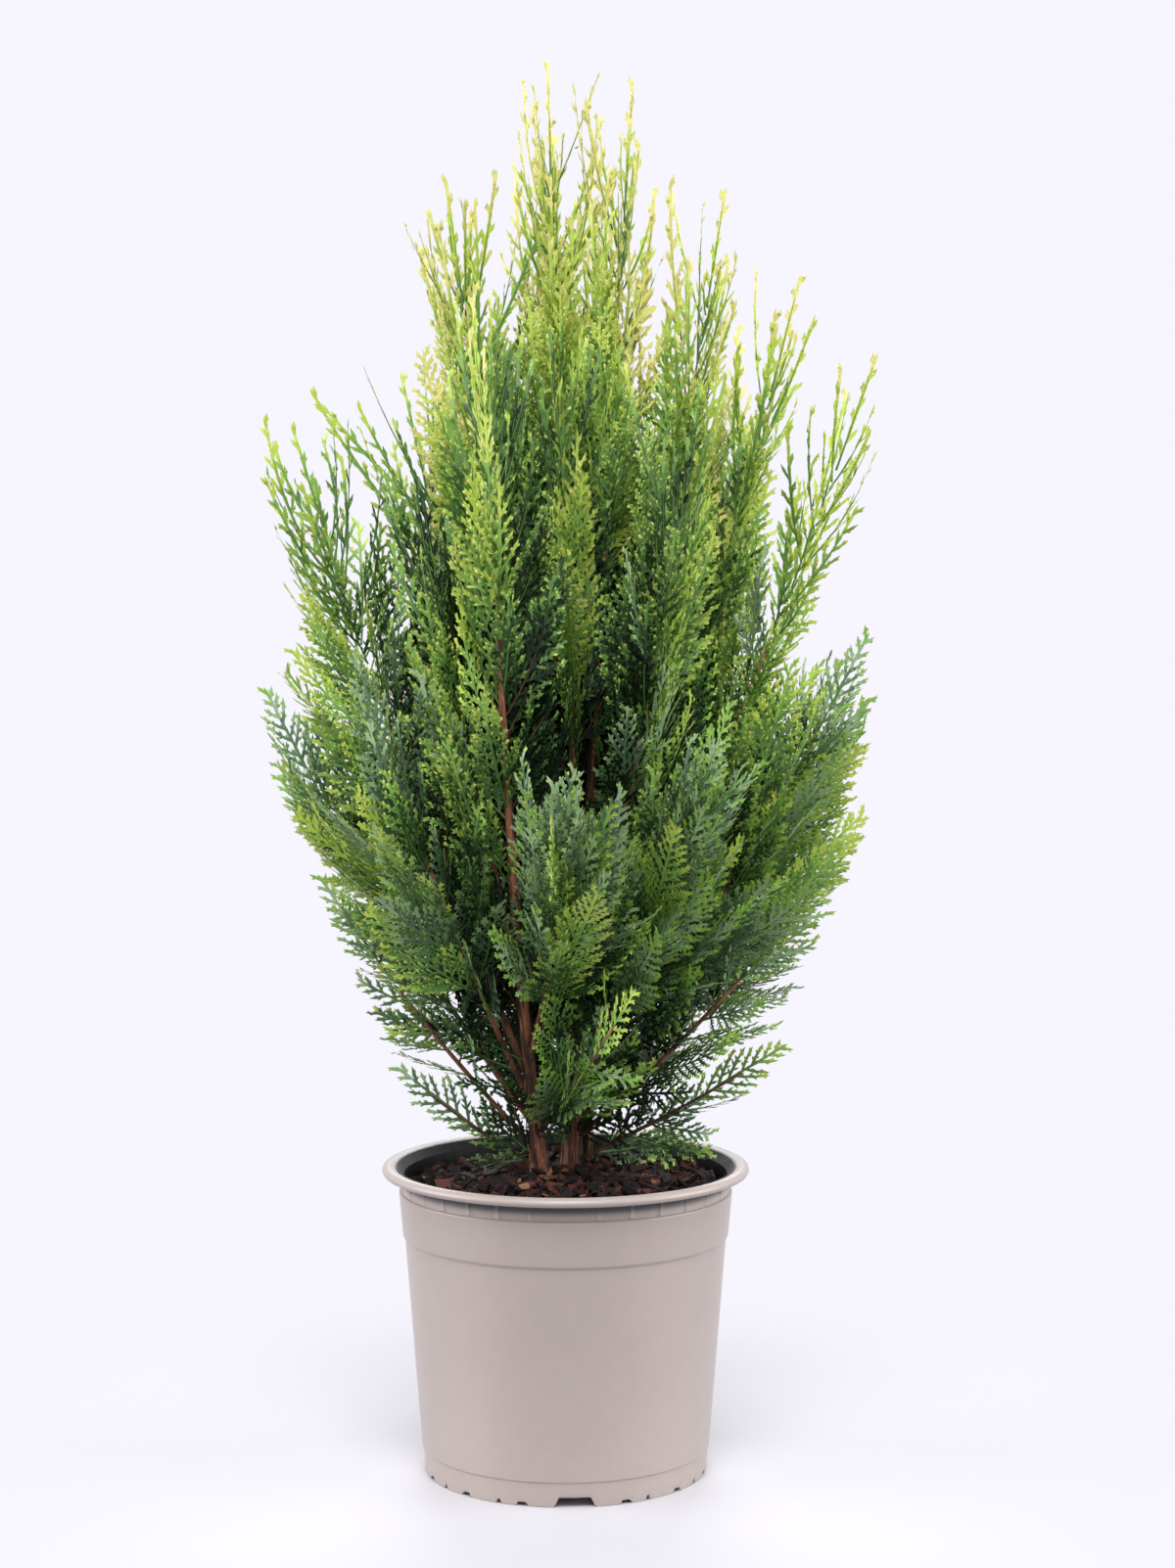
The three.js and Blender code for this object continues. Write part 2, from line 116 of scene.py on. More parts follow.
def square_to(axis: Array, vectors: Array) -> Array:
    """Take the part that lies along unit axes out of vectors."""
    return vectors - axis * np.sum(axis * vectors, axis=1)[:, None]


def spaced(count: int, random: Random) -> Array:
    """Give unevenly spaced shares from 0 to 1, in rising order."""
    return (np.arange(count) + random.random(count)) / count


def count_up(counts: Array) -> tuple[Array, Array]:
    """Number things that are shared out among owners.

    Args:
        counts: How many things each owner has.

    Returns:
        The owner of each thing, and its place among that owner's things.
    """
    owner = np.repeat(np.arange(len(counts)), counts)
    first = np.repeat(np.cumsum(counts) - counts, counts)
    return owner, np.arange(len(owner)) - first


def grid_faces(rows: int, columns: int) -> Array:
    """Number the quads between rings of vertices that close on themselves.

    Args:
        rows: How many rings there are.
        columns: How many vertices each ring has.

    Returns:
        One row of four vertex numbers for each quad.
    """
    row, column = np.meshgrid(np.arange(rows - 1), np.arange(columns), indexing="ij")
    following = (column + 1) % columns
    low, high = row * columns, (row + 1) * columns
    quads = np.stack([low + column, low + following, high + following, high + column], axis=-1)
    return quads.reshape(-1, 4)


def joined_mesh(name: str, corners: Array, faces: Sequence[Array], sharp_deg: float = 180.0) -> Object:
    """Make one smooth-shaded object from arrays.

    Args:
        name: The piece's name.
        corners: Vertex places, one row each.
        faces: Arrays of vertex numbers, one row for each face; each array has its own number of sides.
        sharp_deg: Edges that bend more than this stay sharp.

    Returns:
        The new object, linked to the scene.
    """
    mesh = bpy.data.meshes.new(name)
    loops = np.concatenate([part.ravel() for part in faces]).astype(np.int32)
    sides = np.concatenate([np.full(len(part), part.shape[1]) for part in faces])
    starts = np.concatenate([[0], np.cumsum(sides)[:-1]]).astype(np.int32)
    mesh.vertices.add(len(corners))
    mesh.vertices.foreach_set("co", np.asarray(corners, np.float32).ravel())
    mesh.loops.add(len(loops))
    mesh.loops.foreach_set("vertex_index", loops)
    mesh.polygons.add(len(starts))
    mesh.polygons.foreach_set("loop_start", starts)
    mesh.update(calc_edges=True)
    mesh.shade_smooth()
    if sharp_deg < 180.0:
        mesh.set_sharp_from_angle(angle=math.radians(sharp_deg))
    piece = bpy.data.objects.new(name, mesh)
    bpy.context.scene.collection.objects.link(piece)
    return piece


def settle(piece: Object, material: Material, slot: str, *nodes: str) -> None:
    """Dress a piece, let it ride on the part's body and put it in the place of solids.

    Args:
        piece: The finished mesh object.
        material: Its finish.
        slot: The record's material slot for that finish; not used.
        nodes: Names of the solids that it stands for.
    """
    piece.data.materials.append(material)
    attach(piece, BODY)
    if nodes:
        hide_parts(*nodes)
    LOG.info("%s: %d faces", piece.name, len(piece.data.polygons))


# Finishes


class Tone(Enum):
    """Tints of the scale leaves: screen colour, the record's slot and how much they mirror."""

    SHADE = ((27, 41, 26), "foliage_shade", 0.15)
    DEEP = ((50, 77, 41), "foliage_shade", 0.15)
    MID = ((90, 127, 60), "foliage_green", 0.45)
    FRESH = ((127, 168, 74), "foliage_green", 0.45)
    LIME = ((178, 203, 80), "foliage_gold", 0.45)
    GOLD = ((213, 210, 122), "foliage_gold", 0.45)
    BLUE_DEEP = ((80, 109, 75), "foliage_blue_green", 0.45)
    BLUE_PALE = ((144, 171, 130), "foliage_blue_green", 0.45)

    @property
    def colour(self) -> Colour:
        """The tint in linear light."""
        return linear(self.value[0])


class ShaderGraph:
    """A node tree with short calls for making and linking nodes."""

    def __init__(self, tree: NodeTree) -> None:
        """Keep the tree that nodes are added to."""
        self.tree = tree

    def node(self, kind: str, settings: dict[str, object] | None = None, **inputs: object) -> Node:
        """Add a node.

        Args:
            kind: The node's type.
            settings: Attributes to set on it.
            inputs: Values or output sockets for its inputs; underscores stand for spaces.

        Returns:
            The new node.
        """
        made = self.tree.nodes.new(kind)
        for key, value in (settings or {}).items():
            setattr(made, key, value)
        self.wire(made, **inputs)
        return made

    def wire(self, node: Node, **inputs: object) -> None:
        """Set or link several inputs of a node; underscores stand for spaces in their names."""
        for key, value in inputs.items():
            self.feed(node.inputs[key.replace("_", " ")], value)

    def feed(self, socket: NodeSocket, value: object) -> None:
        """Link an output to an input, or set the input's own value.

        Args:
            socket: The input.
            value: The output to link to it, or its own value.
        """
        if isinstance(value, NodeSocket):
            self.tree.links.new(value, socket)
        else:
            socket.default_value = value

    def math(self, operation: str, first: object, second: object, clamp: bool = True) -> NodeSocket:
        """Work out two values.

        Args:
            operation: What is done with them.
            first: The first value or output.
            second: The second value or output.
            clamp: Whether the result is kept from 0 to 1.

        Returns:
            The result.
        """
        made = self.node("ShaderNodeMath", {"operation": operation, "use_clamp": clamp})
        self.feed(made.inputs[0], first)
        self.feed(made.inputs[1], second)
        return made.outputs[0]

    def mix(self, share: object, first: object, second: object, kind: str = "RGBA") -> NodeSocket:
        """Blend two colours, or numbers, by a share and give the result."""
        made = self.node("ShaderNodeMix", {"data_type": kind}, Factor=share, A=first, B=second)
        return made.outputs["Result"]

    def ramp(
        self, value: NodeSocket, start: Band, end: Band = (0.0, 1.0), smooth: bool = False
    ) -> NodeSocket:
        """Map a value from one range to another.

        Args:
            value: The output that gives it.
            start: The range it comes from.
            end: The range it goes to.
            smooth: Whether it eases in and out.

        Returns:
            The result.
        """
        kind = {"interpolation_type": "SMOOTHSTEP" if smooth else "LINEAR"}
        limits = dict(zip(("From_Min", "From_Max", "To_Min", "To_Max"), (*start, *end)))
        return self.node("ShaderNodeMapRange", kind, Value=value, **limits).outputs["Result"]


def mottle_group() -> NodeTree:
    """Make the group that spreads two colours unevenly over a surface, with a matching height.

    Returns:
        A group with Vector, Scale, Detail, Dark and Light in, and Colour, Mask and Height out.
    """
    tree = bpy.data.node_groups.new("mottle", "ShaderNodeTree")
    sockets = {
        "INPUT": {"Vector": "Vector", "Scale": "Float", "Detail": "Float", "Dark": "Color", "Light": "Color"},
        "OUTPUT": {"Colour": "Color", "Mask": "Float", "Height": "Float"},
    }
    for way, kinds in sockets.items():
        for name, kind in kinds.items():
            tree.interface.new_socket(name=name, in_out=way, socket_type=f"NodeSocket{kind}")
    graph = ShaderGraph(tree)
    given = graph.node("NodeGroupInput").outputs
    vector, scale, detail = (given[name] for name in ("Vector", "Scale", "Detail"))
    broad = graph.node("ShaderNodeTexNoise", Vector=vector, Scale=scale, Detail=detail, Roughness=0.6)
    fine_scale = graph.math("MULTIPLY", scale, 5.3, clamp=False)
    fine = graph.node("ShaderNodeTexNoise", Vector=vector, Scale=fine_scale, Detail=3.0)
    height = graph.mix(0.35, broad.outputs["Fac"], fine.outputs["Fac"], "FLOAT")
    mask = graph.ramp(height, (0.34, 0.66))
    colour = graph.mix(mask, given["Dark"], given["Light"])
    graph.node("NodeGroupOutput", Colour=colour, Mask=mask, Height=height)
    return tree


def principled(name: str) -> tuple[Material, ShaderGraph, Node]:
    """Make a material with one shader.

    Args:
        name: The material's name.

    Returns:
        The material, its graph and its shader node.
    """
    material = bpy.data.materials.new(name)
    material.use_nodes = True
    return material, ShaderGraph(material.node_tree), material.node_tree.nodes["Principled BSDF"]


@dataclass(frozen=True)
class Finish:
    """A surface of two mottled colours with a little relief."""

    name: str
    dark: Colour
    light: Colour
    roughness: float
    scale: float
    stretch: tuple[float, float, float] = (1.0, 1.0, 1.0)
    detail: float = 5.0
    bump: float = 0.2
    bump_depth: float = 0.0004
    specular: float = 0.4
    uneven_gloss: float = 0.07

    def stain_and_painted_shade(self, graph: ShaderGraph, place: NodeSocket, colour: NodeSocket) -> NodeSocket:
        """Leave the colour as it is; a finish with stains or painted shade changes it by place."""
        return colour

    def material(self, mottle: NodeTree) -> Material:
        """Make the material with its mottled colour, roughness and relief.

        Args:
            mottle: The shared mottle group.

        Returns:
            The material.
        """
        made, graph, shader = principled(self.name)
        place = graph.node("ShaderNodeTexCoord").outputs["Object"]
        mapping = graph.node("ShaderNodeMapping", Vector=place, Scale=self.stretch)
        spread = graph.node(
            "ShaderNodeGroup", {"node_tree": mottle}, Vector=mapping.outputs["Vector"], Scale=self.scale,
            Detail=self.detail, Dark=rgba(self.dark), Light=rgba(self.light),
        ).outputs
        gloss = (min(1.0, self.roughness + self.uneven_gloss), max(0.0, self.roughness - self.uneven_gloss))
        relief = graph.node(
            "ShaderNodeBump", Strength=self.bump, Distance=self.bump_depth, Height=spread["Height"]
        )
        graph.wire(
            shader, Base_Color=self.stain_and_painted_shade(graph, place, spread["Colour"]),
            Roughness=graph.ramp(spread["Mask"], (0.0, 1.0), gloss),
            Normal=relief.outputs["Normal"], Specular_IOR_Level=self.specular,
        )
        return made


@dataclass(frozen=True)
class BarkFinish(Finish):
    """Stringy bark that darkens in patches near the soil: moss and dirt, with painted shade."""

    # Moss, dirt and painted shade near the soil: its colour, the heights where it fades in, and its patches.
    damp: Colour = linear((36, 32, 24))
    moss_and_shade_heights: Band = (0.26, 0.175)
    patch_noise: Band = (95.0, 4.0)
    patch_band: Band = (0.40, 0.62)
    patch_shares: Band = (0.55, 1.0)

    def stain_and_painted_shade(self, graph: ShaderGraph, place: NodeSocket, colour: NodeSocket) -> NodeSocket:
        """Darken the bark in patches towards its foot: moss and dirt, with painted shade where the crown
        shades the stems.

        Args:
            graph: The material's graph.
            place: The place on the surface.
            colour: The bark's colour.

        Returns:
            The colour with its patches of moss and painted shade.
        """
        scale, detail = self.patch_noise
        patch = graph.node("ShaderNodeTexNoise", Vector=place, Scale=scale, Detail=detail)
        patches = graph.ramp(patch.outputs["Fac"], self.patch_band, self.patch_shares)
        foot = graph.ramp(graph.node("ShaderNodeSeparateXYZ", Vector=place).outputs["Z"], self.moss_and_shade_heights)
        # Moss and dirt with painted shade: patches darken the bark towards the soil, where the foliage shades
        # the stems.
        return graph.mix(graph.math("MULTIPLY", foot, patches), colour, rgba(self.damp))


@dataclass(frozen=True)
class RimmedFinish(Finish):
    """Moulded plastic with painted shade in the corner under its rim, where the rim's shadow falls."""

    # Painted shade under the rim: its colour, the heights where it fades in, and the rim's underside above
    # which it stops.
    painted_shade: Colour = linear((40, 35, 35))
    painted_shade_heights: Band = (0.1480, 0.1522)
    painted_shade_top: float = 0.1551

    def stain_and_painted_shade(self, graph: ShaderGraph, place: NodeSocket, colour: NodeSocket) -> NodeSocket:
        """Darken the plastic just under the rim with painted shade.

        Args:
            graph: The material's graph.
            place: The place on the surface.
            colour: The plastic's colour.

        Returns:
            The colour with painted shade.
        """
        # Painted shade: the plastic darkens just under the rim, where the rim's shadow falls on the neck.
        height = graph.node("ShaderNodeSeparateXYZ", Vector=place).outputs["Z"]
        corner = graph.ramp(height, self.painted_shade_heights, smooth=True)
        below = graph.math("LESS_THAN", height, self.painted_shade_top)
        return graph.mix(graph.math("MULTIPLY", corner, below), colour, rgba(self.painted_shade))


@dataclass(frozen=True)
class PlainFinish:
    """One even base colour, for small things joined in their thousands."""

    name: str
    colour: Colour
    roughness: float
    specular: float = 0.35

    def material(self) -> Material:
        """Make the material with its values set on the shader.

        Returns:
            The material.
        """
        made, graph, shader = principled(self.name)
        colour = rgba(self.colour)
        graph.wire(shader, Base_Color=colour, Roughness=self.roughness, Specular_IOR_Level=self.specular)
        return made


# The pot


class Notch(Enum):
    """Drain notches of the foot: width at the bottom, width at the top and height."""

    WIDE = (0.021, 0.016, 0.005)
    MIDDLE = (0.006, 0.0045, 0.002)
    NARROW = (0.0028, 0.0012, 0.0026)


@dataclass
class NurseryPot:
    """A tapered nursery pot with a rolled rim, ribbed neck, collar and notched foot."""

    height: float = 0.160
    rim_radius: float = 0.095
    rim_width: float = 0.008
    rim_depth: float = 0.0046
    neck_radius: float = 0.0848
    neck_depth: float = 0.0094
    collar_top_radius: float = 0.0862
    collar_bottom_radius: float = 0.0842
    collar_depth: float = 0.023
    collar_step: float = 0.0011
    foot_radius: float = 0.073
    foot_height: float = 0.0125
    foot_step: float = 0.0008
    floor_height: float = 0.0066
    wall: float = 0.0016
    segments: int = 480
    rounding_points: int = 5
    rounding_share: float = 0.45
    ring_pitch: float = 0.0055
    sharp_deg: float = 38.0
    ribs: int = 32
    rib_height: float = 0.0006
    rib_from: float = 0.88
    lining_rib_from: float = 0.92
    lining_rib_share: float = 0.4
    notch_repeats: int = 3
    first_notch_deg: float = -86.0
    notch_pattern: tuple[tuple[float, Notch], ...] = (
        (0, Notch.WIDE), (21, Notch.MIDDLE), (31, Notch.NARROW), (47, Notch.MIDDLE),
        (60, Notch.NARROW), (73, Notch.MIDDLE), (89, Notch.NARROW), (99, Notch.MIDDLE),
    )
    finish: RimmedFinish = RimmedFinish(
        "taupe_plastic", linear((163, 151, 145)), linear((167, 155, 149)), 0.34, 26.0,
        bump=0.03, specular=0.55, uneven_gloss=0.012,
    )
    lining: float = 0.0004
    lining_gap: float = 0.0001
    lining_finish: Finish = Finish(
        "dark_lining", linear((30, 27, 28)), linear((40, 36, 37)), 0.5, 60.0, bump=0.05, specular=0.3
    )

    @property
    def neck_top(self) -> float:
        """Height of the rim's underside."""
        return self.height - self.rim_depth

    @property
    def collar_top(self) -> float:
        """Height of the collar's upper edge."""
        return self.neck_top - self.neck_depth

    @property
    def collar_bottom(self) -> float:
        """Height of the collar's lower edge."""
        return self.collar_top - self.collar_depth

    @property
    def wall_top(self) -> float:
        """Radius of the wall just under the collar."""
        return self.collar_bottom_radius - self.collar_step

    def corners(self) -> list[tuple[float, float, float]]:
        """List the wall's outline from under the floor, up the outside, over the rim and down the inside.

        Returns:
            Radius, height and rounding of each corner.
        """
        wall_bottom = self.foot_radius + 2 * self.foot_step
        lip_inner = self.rim_radius - self.rim_width
        return [
            (self.foot_radius - 0.0032, self.floor_height - self.wall, 0.0),
            (self.foot_radius - 0.0024, 0.0, 0.0005),
            (self.foot_radius, 0.0, 0.0006),
            (self.foot_radius + self.foot_step, self.foot_height, 0.0003),
            (wall_bottom, self.foot_height + 0.0006, 0.0004),
            (self.wall_top, self.collar_bottom - 0.0010, 0.0005),
            (self.collar_bottom_radius, self.collar_bottom + 0.0004, 0.0006),
            (self.collar_top_radius, self.collar_top, 0.0008),
            (self.neck_radius, self.collar_top + 0.0006, 0.0004),
            (self.neck_radius + 0.0006, self.neck_top, 0.0005),
            (self.rim_radius - 0.0010, self.neck_top - 0.0002, 0.0006),
            (self.rim_radius, self.neck_top + 0.0016, 0.0012),
            (self.rim_radius - 0.0006, self.height - 0.0014, 0.0014),
            (self.rim_radius - 0.0034, self.height, 0.0018),
            (lip_inner + 0.0012, self.height - 0.0010, 0.0010),
            (self.neck_radius + 0.0012 - self.wall, self.neck_top - 0.0010, 0.0015),
            (self.collar_top_radius - 0.0008 - self.wall, self.collar_top, 0.0010),
            (self.collar_bottom_radius - self.wall, self.collar_bottom + 0.0014, 0.0006),
            (self.wall_top - self.wall, self.collar_bottom, 0.0006),
            (wall_bottom - self.wall, self.floor_height, 0.0),
        ]

    def profile(self) -> Array:
        """Round the outline's corners and divide its long stretches.

        Returns:
            Radius and height of each ring of the pot.
        """
        corners = self.corners()
        places = [np.array(corner[:2]) for corner in corners]
        rounded = [places[0]]
        for before, here, after, (*_, rounding) in zip(places, places[1:], places[2:], corners[1:]):
            into, out = before - here, after - here
            cut = min(rounding, *(self.rounding_share * np.linalg.norm(way) for way in (into, out)))
            start, end = here + unit(into) * cut, here + unit(out) * cut
            for share in np.linspace(0.0, 1.0, self.rounding_points):
                rounded.append(lerp(lerp(start, here, share), lerp(here, end, share), share))
        rounded.append(places[-1])
        rings = [rounded[0]]
        for here, after in zip(rounded, rounded[1:]):
            steps = max(1, round(float(np.linalg.norm(after - here)) / self.ring_pitch))
            rings.extend(lerp(here, after, step / steps) for step in range(1, steps + 1))
        return np.array(rings)

    def notch_heights(self, angles: Array) -> Array:
        """Give how high the foot's lower edge is cut away at each bearing.

        Args:
            angles: Bearings about the pot's axis.

        Returns:
            The height of the cut there, 0 where the foot is whole.
        """
        heights = np.zeros_like(angles)
        for repeat in range(self.notch_repeats):
            for offset, notch in self.notch_pattern:
                bottom, top, height = notch.value
                bearing = math.radians(self.first_notch_deg + offset + repeat * 360.0 / self.notch_repeats)
                away = np.abs((angles - bearing + math.pi) % FULL_TURN - math.pi) * self.foot_radius
                slope = np.clip((bottom / 2 - away) / (bottom / 2 - top / 2), 0.0, 1.0)
                heights = np.maximum(heights, height * slope)
        return heights

    def build(self) -> Object:
        """Turn the outline about the axis, with ribs in the neck and notches in the foot.

        Returns:
            The pot.
        """
        profile = self.profile()
        count, height = len(profile), profile[:, 1]
        angles = bearings(self.segments)
        radius, level = (np.repeat(column[:, None], self.segments, axis=1) for column in profile.T)
        outside = np.arange(count) < np.argmax(height)
        in_neck = outside & (height > self.collar_top + 0.0008) & (height < self.neck_top - 0.0004)
        crest = np.clip((np.cos(self.ribs * angles) - self.rib_from) / (1.0 - self.rib_from), 0.0, 1.0)
        radius[in_neck & (profile[:, 0] < self.neck_radius + 0.0015)] += self.rib_height * crest
        low = outside & (height < self.floor_height)
        level[low] += self.notch_heights(angles) * (1.0 - level[low] / self.floor_height)
        hubs = [[0.0, 0.0, height[0]], [0.0, 0.0, height[-1]]]
        corners = np.concatenate([polar(radius, angles, level).reshape(-1, 3), hubs])
        column = np.arange(self.segments)
        following = np.roll(column, -1)
        last = (count - 1) * self.segments
        hub = np.full_like(column, count * self.segments)
        under = np.stack([following, column, hub], axis=-1)
        inner = np.stack([last + column, last + following, hub + 1], axis=-1)
        faces = [grid_faces(count, self.segments), under, inner]
        return joined_mesh("nursery_pot", corners, faces, self.sharp_deg)

    def build_lining(self) -> Object:
        """Make the dark inner layer of the wall as a thin ring, with the neck's ribs showing through.

        Returns:
            The lining.
        """
        outline = np.array([
            (self.rim_radius - self.rim_width + 0.0006, self.height - 0.0012),
            (self.neck_radius + 0.0008 - self.wall, self.neck_top - 0.0006),
            (self.collar_top_radius - 0.0010 - self.wall, self.collar_top),
            (self.collar_bottom_radius - self.wall, self.collar_bottom + 0.0014),
            (self.wall_top - self.wall, self.collar_bottom - 0.006),
        ])
        inner = outline[::-1] - np.array([self.lining, 0.0])
        profile = np.concatenate([outline - np.array([self.lining_gap, 0.0]), inner])
        height = profile[:, 1]
        ribbed = np.arange(len(profile)) >= len(outline)
        ribbed &= (height > self.collar_top - 0.004) & (height < self.height - 0.002)
        angles = bearings(self.segments)
        radius = np.repeat(profile[:, :1], self.segments, axis=1)
        crest = np.cos(self.ribs * angles) > self.lining_rib_from
        radius[ribbed] -= self.lining_rib_share * self.rib_height * crest
        corners = polar(radius, angles, profile[:, 1:]).reshape(-1, 3)
        faces = grid_faces(len(profile) + 1, self.segments) % len(corners)
        return joined_mesh("pot_lining", corners, [faces], self.sharp_deg)

    def build_and_dress(self, mottle: NodeTree) -> None:
        """Make the pot and its lining, and put the pot in the solid's place."""
        settle(self.build(), self.finish.material(mottle), "pot_plastic", "pot")
        settle(self.build_lining(), self.lining_finish.material(mottle), "pot_plastic")


# The mulch


class Chip(Enum):
    """Kinds of bark chips: screen colour and share of the bed."""

    BLACK = ((24, 18, 18), 0.46)
    BROWN = ((46, 31, 28), 0.34)
    RUST = ((80, 45, 36), 0.16)
    TAN = ((142, 100, 74), 0.04)


@dataclass
class MulchBed:
    """Compost with a loose layer of bark chips, just under the pot's rim."""

    radius: float = 0.0826
    edge_height: float = 0.146
    heap: float = 0.006
    heap_radius: float = 0.034
    lumps: float = 0.0008
    rings: int = 40
    segments: int = 120
    chips: int = 3400
    longest: float = 0.015
    thinnest: float = 0.0012
    ragged: float = 0.22
    tilted: float = 0.42
    layer: float = 0.0035
    sharp_deg: float = 35.0
    roughness: float = 0.8
    specular: float = 0.2
    seed: int = 5
    chip_seed: int = 15
    compost: Finish = Finish(
        "damp_compost", linear((17, 13, 13)), linear((38, 29, 27)), 0.9, 160.0, bump=0.8, bump_depth=0.002
    )

    def height_at(self, distance: Array) -> Array:
        """Give the bed's height at a distance from the pot's axis."""
        outside = smoothstep((self.heap_radius, self.radius * 0.9), distance)
        return self.edge_height + self.heap * (1.0 - outside)

    def build_bed(self) -> Object:
        """Make the lumpy top of the compost.

        Returns:
            The compost.
        """
        random = np.random.default_rng(self.seed)
        distance = np.linspace(0.001, self.radius, self.rings)[:, None]
        level = self.height_at(distance) + random.normal(0.0, self.lumps, (self.rings, self.segments))
        corners = polar(distance, bearings(self.segments), level).reshape(-1, 3)
        cap = np.arange(self.segments)[None, :]
        return joined_mesh("compost", corners, [grid_faces(self.rings, self.segments), cap])

    def build_chips(self, kind: Chip, seed: int) -> Object:
        """Strew chips of one kind over the bed.

        Args:
            kind: The kind of chip.
            seed: Where its random numbers start.

        Returns:
            One object that holds all the chips of that kind.
        """
        random = np.random.default_rng(seed)
        count = int(self.chips * kind.value[1])
        distance = (self.radius - 0.002) * np.sqrt(random.random(count))
        bearing = random.random(count) * 2 * math.pi
        length = self.longest * (0.25 + 0.75 * random.random(count) ** 2)
        width = length * (0.12 + 0.42 * random.random(count) ** 1.6)
        thick = np.minimum(width * 0.6, self.thinnest + 0.0022 * random.random(count))
        outline = ((-1, -1), (0, -1.2), (1, -1), (1, 1), (0, 1.2), (-1, 1))
        box = np.array([[x, y, z] for z in (-1, 1) for x, y in outline])
        shape = box[None] * np.stack([length, width, thick], axis=-1)[:, None] / 2
        shape *= 1.0 + random.normal(0.0, self.ragged, shape.shape)
        turn = random.random(count) * 2 * math.pi
        tilt = random.normal(0.0, self.tilted, (count, 2))
        ahead = unit(np.stack([np.cos(turn), np.sin(turn), tilt[:, 0]], axis=-1))
        aside = np.stack([-np.sin(turn), np.cos(turn), tilt[:, 1]], axis=-1)
        above = unit(np.cross(ahead, aside))
        aside = np.cross(above, ahead)
        level = self.height_at(distance) + thick * 0.3 + self.layer * random.random(count)
        centre = polar(distance, bearing, level)
        corners = centre[:, None] + shape @ np.stack([ahead, aside, above], axis=1)
        reach = np.linalg.norm(corners[..., :2], axis=-1).max(axis=1)
        corners = corners[reach < self.radius - 0.0005]
        ends = np.array([[0, 5, 4, 1], [1, 4, 3, 2], [6, 7, 10, 11], [7, 8, 9, 10]])
        sides = np.array([[i, (i + 1) % 6, (i + 1) % 6 + 6, i + 6] for i in range(6)])
        first = np.arange(len(corners))[:, None, None] * len(box)
        faces = (first + np.concatenate([ends, sides])).reshape(-1, 4)
        return joined_mesh(f"mulch_{kind.name.lower()}", corners.reshape(-1, 3), [faces], self.sharp_deg)

    def build_and_dress(self, mottle: NodeTree) -> None:
        """Make the bed and its chips, and put them in the soil's place.

        Args:
            mottle: The shared mottle group.
        """
        settle(self.build_bed(), self.compost.material(mottle), "bark_mulch", "soil")
        for step, kind in enumerate(Chip):
            colour = linear(kind.value[0])
            finish = PlainFinish(f"chip_{kind.name.lower()}", colour, self.roughness, self.specular)
            settle(self.build_chips(kind, self.chip_seed + step), finish.material(), "bark_mulch")


# Paths of limbs and plumes


class RisingPath:
    """A path in one upright plane that leaves its root outwards and turns up towards its tip."""

    samples = 129
    nudge = 0.01

    def __init__(self, root: Array, tip: Array, spread: float, rise: float) -> None:
        """Bend the path.

        Args:
            root: Where it starts.
            tip: Where it ends.
            spread: How far towards the tip, seen from above, its bend lies.
            rise: How far towards the tip, in height, its bend lies.
        """
        bend = lerp(root, tip, np.array([spread, spread, rise]))
        time = np.linspace(0.0, 1.0, self.samples)[:, None]
        self.points = lerp(lerp(root, bend, time), lerp(bend, tip, time), time)
        steps = np.linalg.norm(np.diff(self.points, axis=0), axis=1)
        self.travel = np.concatenate([[0.0], np.cumsum(steps)])
        self.length = float(self.travel[-1])
        outward = unit(np.array([tip[0] - root[0], tip[1] - root[1], 0.0]))
        self.side = np.cross(outward, UP)

    def at(self, share: Array) -> Array:
        """Give the points at shares of the path's length."""
        along = np.asarray(share) * self.length
        return np.stack([np.interp(along, self.travel, axis) for axis in self.points.T], axis=-1)

    def along(self, share: Array) -> Array:
        """Give the path's directions at shares of its length."""
        ahead, behind = np.minimum(share + self.nudge, 1.0), np.maximum(share - self.nudge, 0.0)
        return unit(self.at(ahead) - self.at(behind))

    def face(self, share: Array) -> Array:
        """Give the directions square to the path and to its side at shares of its length."""
        return np.cross(self.side, self.along(share))

    def share_at_height(self, height: Array | float) -> Array | float:
        """Give the share of the length at which the path reaches a height."""
        return np.interp(height, self.points[:, 2], self.travel) / self.length


@dataclass(frozen=True)
class Shoot:
    """A stem, bough or low shoot and the plume that ends it.

    The tip is that of the leading spray. A stem stands on its foot; any other shoot leaves the stem it names
    at a height. Bare is the share of its length with no sprays, bloom the share of its sprays with a
    blue-green bloom, gold how much lighter it is than others at its height, full how well clothed it is,
    splay how many degrees further its lowest sprays lean out, and headroom how far they may rise above
    its tip.
    """

    name: str
    tip: tuple[float, float, float]
    reach: float
    bare: float = 0.0
    stem: str = ""
    at: float = 0.0
    foot: tuple[float, float] = (0.0, 0.0)
    spread: float = 0.58
    rise: float = 0.48
    bloom: float = 0.15
    gold: float = 0.0
    full: float = 1.0
    splay: float = 0.0
    headroom: float = 0.012


STEMS = (
    Shoot(
        "left", (-0.036, -0.068, 0.597), 0.086, 0.46,
        foot=(-0.012, -0.006), spread=0.95, rise=0.5, bloom=0.5, gold=0.05,
    ),
    Shoot(
        "middle", (-0.009, 0.005, 0.722), 0.092, 0.5,
        foot=(0.010, 0.022), spread=0.5, rise=0.5, gold=0.04, full=1.15,
    ),
    Shoot("right", (0.034, -0.005, 0.710), 0.092, 0.5, foot=(0.002, 0.007), spread=0.45, rise=0.5, gold=0.06),
)

